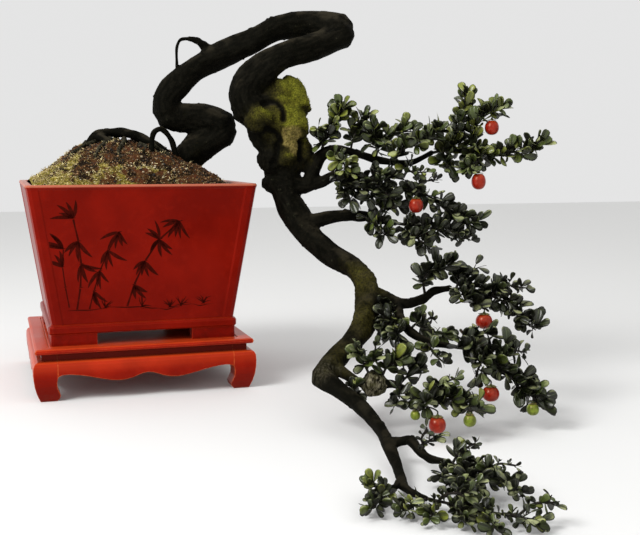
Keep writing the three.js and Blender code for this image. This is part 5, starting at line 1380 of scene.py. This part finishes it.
def dry_flecks():
    """Dry slivers of moss and leaf stalk, most of them by the left rim and the front rim."""
    body = Body("tone")
    for _ in range(FLECK_TRIES):
        x, y = somewhere_on_soil(4)
        if chance.random() > 0.05 + 1.6 * moss_on_soil(x, y):
            continue
        lean = unit(0.35 * UP + chance.normal(0, 0.6, 3) * (1, 1, 0.3))
        spot = on_soil(x, y, chance.uniform(0.6, 2.4))
        length = chance.uniform(2.5, 7) * MM
        width = chance.uniform(0.4, 0.8) * MM
        add_tuft(body, spot, lean, length, width, chance.random())
    body.piece("dry_moss_flecks", "soil", [moss_finish("dry_straw", "#7a5c20", "#fff0b4")])


STONE_POINTS = [(0, 0, 1), (0.9, 0, 0.45), (0.28, 0.85, 0.45), (-0.72, 0.53, 0.45), (-0.72, -0.53, 0.45),
                (0.28, -0.85, 0.45), (0.72, 0.53, -0.45), (-0.28, 0.85, -0.45), (-0.9, 0, -0.45),
                (-0.28, -0.85, -0.45), (0.72, -0.53, -0.45), (0, 0, -1)]
STONE_FACES = [(0, 1, 2), (0, 2, 3), (0, 3, 4), (0, 4, 5), (0, 5, 1), (1, 6, 2), (2, 7, 3), (3, 8, 4),
               (4, 9, 5), (5, 10, 1), (6, 7, 2), (7, 8, 3), (8, 9, 4), (9, 10, 5), (10, 6, 1), (11, 7, 6),
               (11, 8, 7), (11, 9, 8), (11, 10, 9), (11, 6, 10)]


def add_stone(body, x, y, size, tone):
    """A rounded stone with twelve corners, each drawn in or out a little."""
    shape = np.array(STONE_POINTS) * chance.uniform(0.65, 1.1, 3) * (1 + chance.normal(0, 0.12, (12, 1)))
    swing = Matrix.Rotation(chance.uniform(0, 6.3), 3, "Z")
    turn = np.array(swing @ Matrix.Rotation(chance.uniform(0, 6.3), 3, "X"))
    body.add(shape @ turn * size * MM + on_soil(x, y, 0.1 * size), STONE_FACES, tone=tone)


def grit_and_pebbles():
    grit = Body("tone")
    for _ in range(GRIT_TRIES):
        x, y = somewhere_on_soil(4)
        if chance.random() > 0.8 * moss_on_soil(x, y):
            add_stone(grit, x, y, chance.uniform(0.7, 2.3), chance.random() ** 2.4)
    grit.piece("soil_grit", "soil", [stone_finish("red_brown_grit", "#0b0604", "#a27c52")])
    pebbles = Body("tone")
    for x0, y0, count in ((8, -128, 26), (-70, -150, 12), (60, -150, 9), (0, 30, 14), (40, 120, 12)):
        for _ in range(count):
            x, y = chance.normal(x0, 19), chance.normal(y0, 12)
            if max(abs(x), abs(y)) < SOIL_EDGE_HALF - 5:
                add_stone(pebbles, x, y, chance.uniform(0.9, 2.7), chance.random())
    pebbles.piece("white_pebbles", "soil", [stone_finish("white_pebble", "#6e6149", "#d6c8a6")])


# Brushwork on the front of the pot: bamboo and grass, in face places of (x, z)

BAMBOO_STEMS = [
    ([(-112, 146), (-106, 184), (-104, 224), (-108, 262), (-116, 300)], 3.4),
    ([(-92, 146), (-84, 178), (-74, 212), (-60, 246), (-42, 276)], 2.8),
    ([(-124, 150), (-130, 186), (-134, 220), (-132, 250)], 2.4),
    ([(-30, 148), (-18, 186), (0, 226), (24, 262), (58, 292)], 3.6),
]
BAMBOO_CLUSTERS = [
    (-116, 300, 200, 5), (-108, 262, 330, 4), (-104, 224, 20, 4), (-42, 276, 320, 5), (-60, 246, 350, 4),
    (-74, 212, 335, 4), (-132, 250, 215, 4), (-134, 220, 190, 3), (-84, 178, 10, 3),
    (58, 292, 310, 6), (24, 262, 345, 5), (0, 226, 330, 5), (24, 262, 200, 3), (-18, 186, 10, 3),
]
GRASS_TUFTS = [(-70, 147, 8), (-8, 146, 7), (38, 144, 9), (58, 145, 6), (96, 148, 8)]
GROUND_LINES = [(-128, 20, 147, 2.2), (-6, 60, 143, 1.8), (50, 118, 147, 1.5)]


def front_place(x, z):
    """A place on the sunk front panel of the pot."""
    share = (z - PANEL_FOOT) / (PANEL_HEAD - PANEL_FOOT)
    half = PANEL_FOOT_HALF + share * (PANEL_HEAD_HALF - PANEL_FOOT_HALF)
    return placed(x, -half - INK_PROUD, z)


def add_stroke(body, spine, widths):
    """A brush stroke: a flat ribbon along a line of (x, z), as wide as the brush was pressed."""
    spine = np.array(spine, float)
    ways = np.gradient(spine, axis=0)
    ways /= np.linalg.norm(ways, axis=1)[:, None]
    sides = np.stack([-ways[:, 1], ways[:, 0]], axis=1) * (0.5 * np.array(widths))[:, None]
    points = [front_place(*place) for pair in zip(spine - sides, spine + sides) for place in pair]
    faces = [[2 * i, 2 * i + 1, 2 * i + 3, 2 * i + 2] for i in range(len(spine) - 1)]
    body.add(points, faces)


def add_pointed_stroke(body, x, z, angle, length, width, bend=0.0):
    shares = np.linspace(0, 1, 9)
    turn = math.radians(angle) + bend * shares
    spine = np.stack([x + length * shares * np.cos(turn), z + length * shares * np.sin(turn)], axis=1)
    add_stroke(body, spine, width * np.sin(np.pi * shares ** 0.8) ** 0.8 + 0.25)


def brushwork():
    body = Body()
    for stops, width in BAMBOO_STEMS:
        for (x0, z0), (x1, z1) in zip(stops, stops[1:]):
            shares = np.linspace(0.04, 0.96, 8)[:, None]
            spine = np.array([(x0, z0)]) + shares * np.array([(x1 - x0, z1 - z0)])
            add_stroke(body, spine, width * (1 - 0.25 * np.sin(np.pi * shares[:, 0])))
            add_pointed_stroke(body, x1 - width, z1, 8, 2.4 * width, 1.4)
    for x, z, angle, count in BAMBOO_CLUSTERS:
        for leaf in range(count):
            spread = angle - 70 + (leaf - count / 2) * 26 + chance.normal(0, 7)
            add_pointed_stroke(body, x, z, spread, chance.uniform(24, 37), chance.uniform(4.6, 6.8), 0.25)
    for x, z, count in GRASS_TUFTS:
        for blade in range(count):
            lean = 90 + (blade - count / 2) * 17 + chance.normal(0, 5)
            add_pointed_stroke(body, x + blade, z, lean, chance.uniform(10, 22), 1.5, chance.normal(0, 0.3))
    for x0, x1, z, width in GROUND_LINES:
        shares = np.linspace(0, 1, 30)
        rise = 1.6 * np.sin(7 * shares + x0) + 0.8 * np.sin(17 * shares)
        line = np.stack([x0 + (x1 - x0) * shares, z + rise], axis=1)
        press = np.sin(np.pi * shares) ** 0.4 * (0.6 + 0.4 * np.sin(11 * shares))
        add_stroke(body, line, 0.2 + width * press)
    body.piece("pot_brushwork", "red_glaze", [ink_finish()])


# Dressing of the rigid nodes that stay

def dress(node, finish, softened):
    """Gives a node its finish, and eases its sharp edges by so many millimetres."""
    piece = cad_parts[node]
    piece.data.materials.clear()
    piece.data.materials.append(finish)
    if softened:
        edge = piece.modifiers.new("eased_edges", "BEVEL")
        edge.width = softened * MM
        edge.segments = 2
        edge.limit_method = "ANGLE"
        edge.angle_limit = math.radians(35)
        edge.harden_normals = True


lacquer = lacquer_finish()
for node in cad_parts:
    if node.startswith("stand_"):
        dress(node, lacquer, 0.6)
dress("pot", glaze_finish(), 0)
dress("drain_screen", screen_finish(), 0)

wood = grown_wood()
moss_on_wood(wood)
heaped_soil()
soil_moss()
dry_flecks()
grit_and_pebbles()
brushwork()

canopy = Canopy(wood)
foliage = [leaf_finish(), twig_finish(), calyx_finish()]
for name, leaf, shoots in SPRAYS:
    spray(name, leaf, shoots, canopy, foliage)

ripe_skin = fruit_finish("ripe_fruit_skin", "#780c04", "#981a08", "#ac4818")
unripe_skin = fruit_finish("unripe_fruit_skin", "#4a5a16", "#768a28", "#a3a648")
for name, _, centre, radius, height, ripe in FRUITS:
    skin, slot = (ripe_skin, "ripe_fruit") if ripe else (unripe_skin, "unripe_fruit")
    fruit(name, centre, radius, height, skin, slot)


# Studio, in metres

BONSAI_MIDDLE = Vector((0, 0, 0.3))
FLOOR_REACH = 6
FLOOR_TOP = -0.0005
LENS = 56.25
SENSOR = 36
CAMERA_SLOPE = 0.1125
CAMERA_TURN = -0.3124


def studio_floor():
    finish = Finish("pale_floor", Roughness=0.9, Base_Color=(0.8, 0.8, 0.79, 1))
    body = Body()
    corners = [(FLOOR_REACH * x, FLOOR_REACH * y, FLOOR_TOP) for x, y in ((-1, -1), (1, -1), (1, 1), (-1, 1))]
    body.add(corners, [[0, 1, 2, 3]])
    floor = put("studio_floor", body.mesh("studio_floor"))
    floor.data.materials.append(finish.material)


def studio_lamp(name, place, size, power):
    """A square lamp that shines on the middle of the bonsai."""
    lamp = bpy.data.lights.new(name, "AREA")
    lamp.size = size
    lamp.energy = power
    holder = put(name, lamp)
    holder.location = place
    holder.rotation_euler = (BONSAI_MIDDLE - Vector(place)).to_track_quat("-Z", "Y").to_euler()


def studio():
    studio_floor()
    world = bpy.data.worlds.new("pale_studio")
    world.use_nodes = True
    sky = world.node_tree.nodes["Background"]
    sky.inputs["Color"].default_value = (1, 1, 1, 1)
    sky.inputs["Strength"].default_value = 0.78
    bpy.context.scene.world = world
    studio_lamp("key_from_upper_left", (-2.2, -0.9, 2.2), 1.3, 75)
    studio_lamp("soft_front", (0.4, -3.0, 1.6), 2.0, 8)
    bpy.context.scene.view_settings.view_transform = "Standard"


def camera():
    """The photograph's viewpoint: a little to the left of the pot, turned towards the cascade."""
    lens = bpy.data.cameras.new("photo_view")
    lens.lens = LENS
    lens.sensor_width = SENSOR
    lens.clip_start = 0.01
    holder = put("photo_view", lens)
    holder.location = EYE
    holder.rotation_euler = (math.radians(90) - math.atan(CAMERA_SLOPE), 0, CAMERA_TURN)
    bpy.context.scene.camera = holder


studio()
camera()
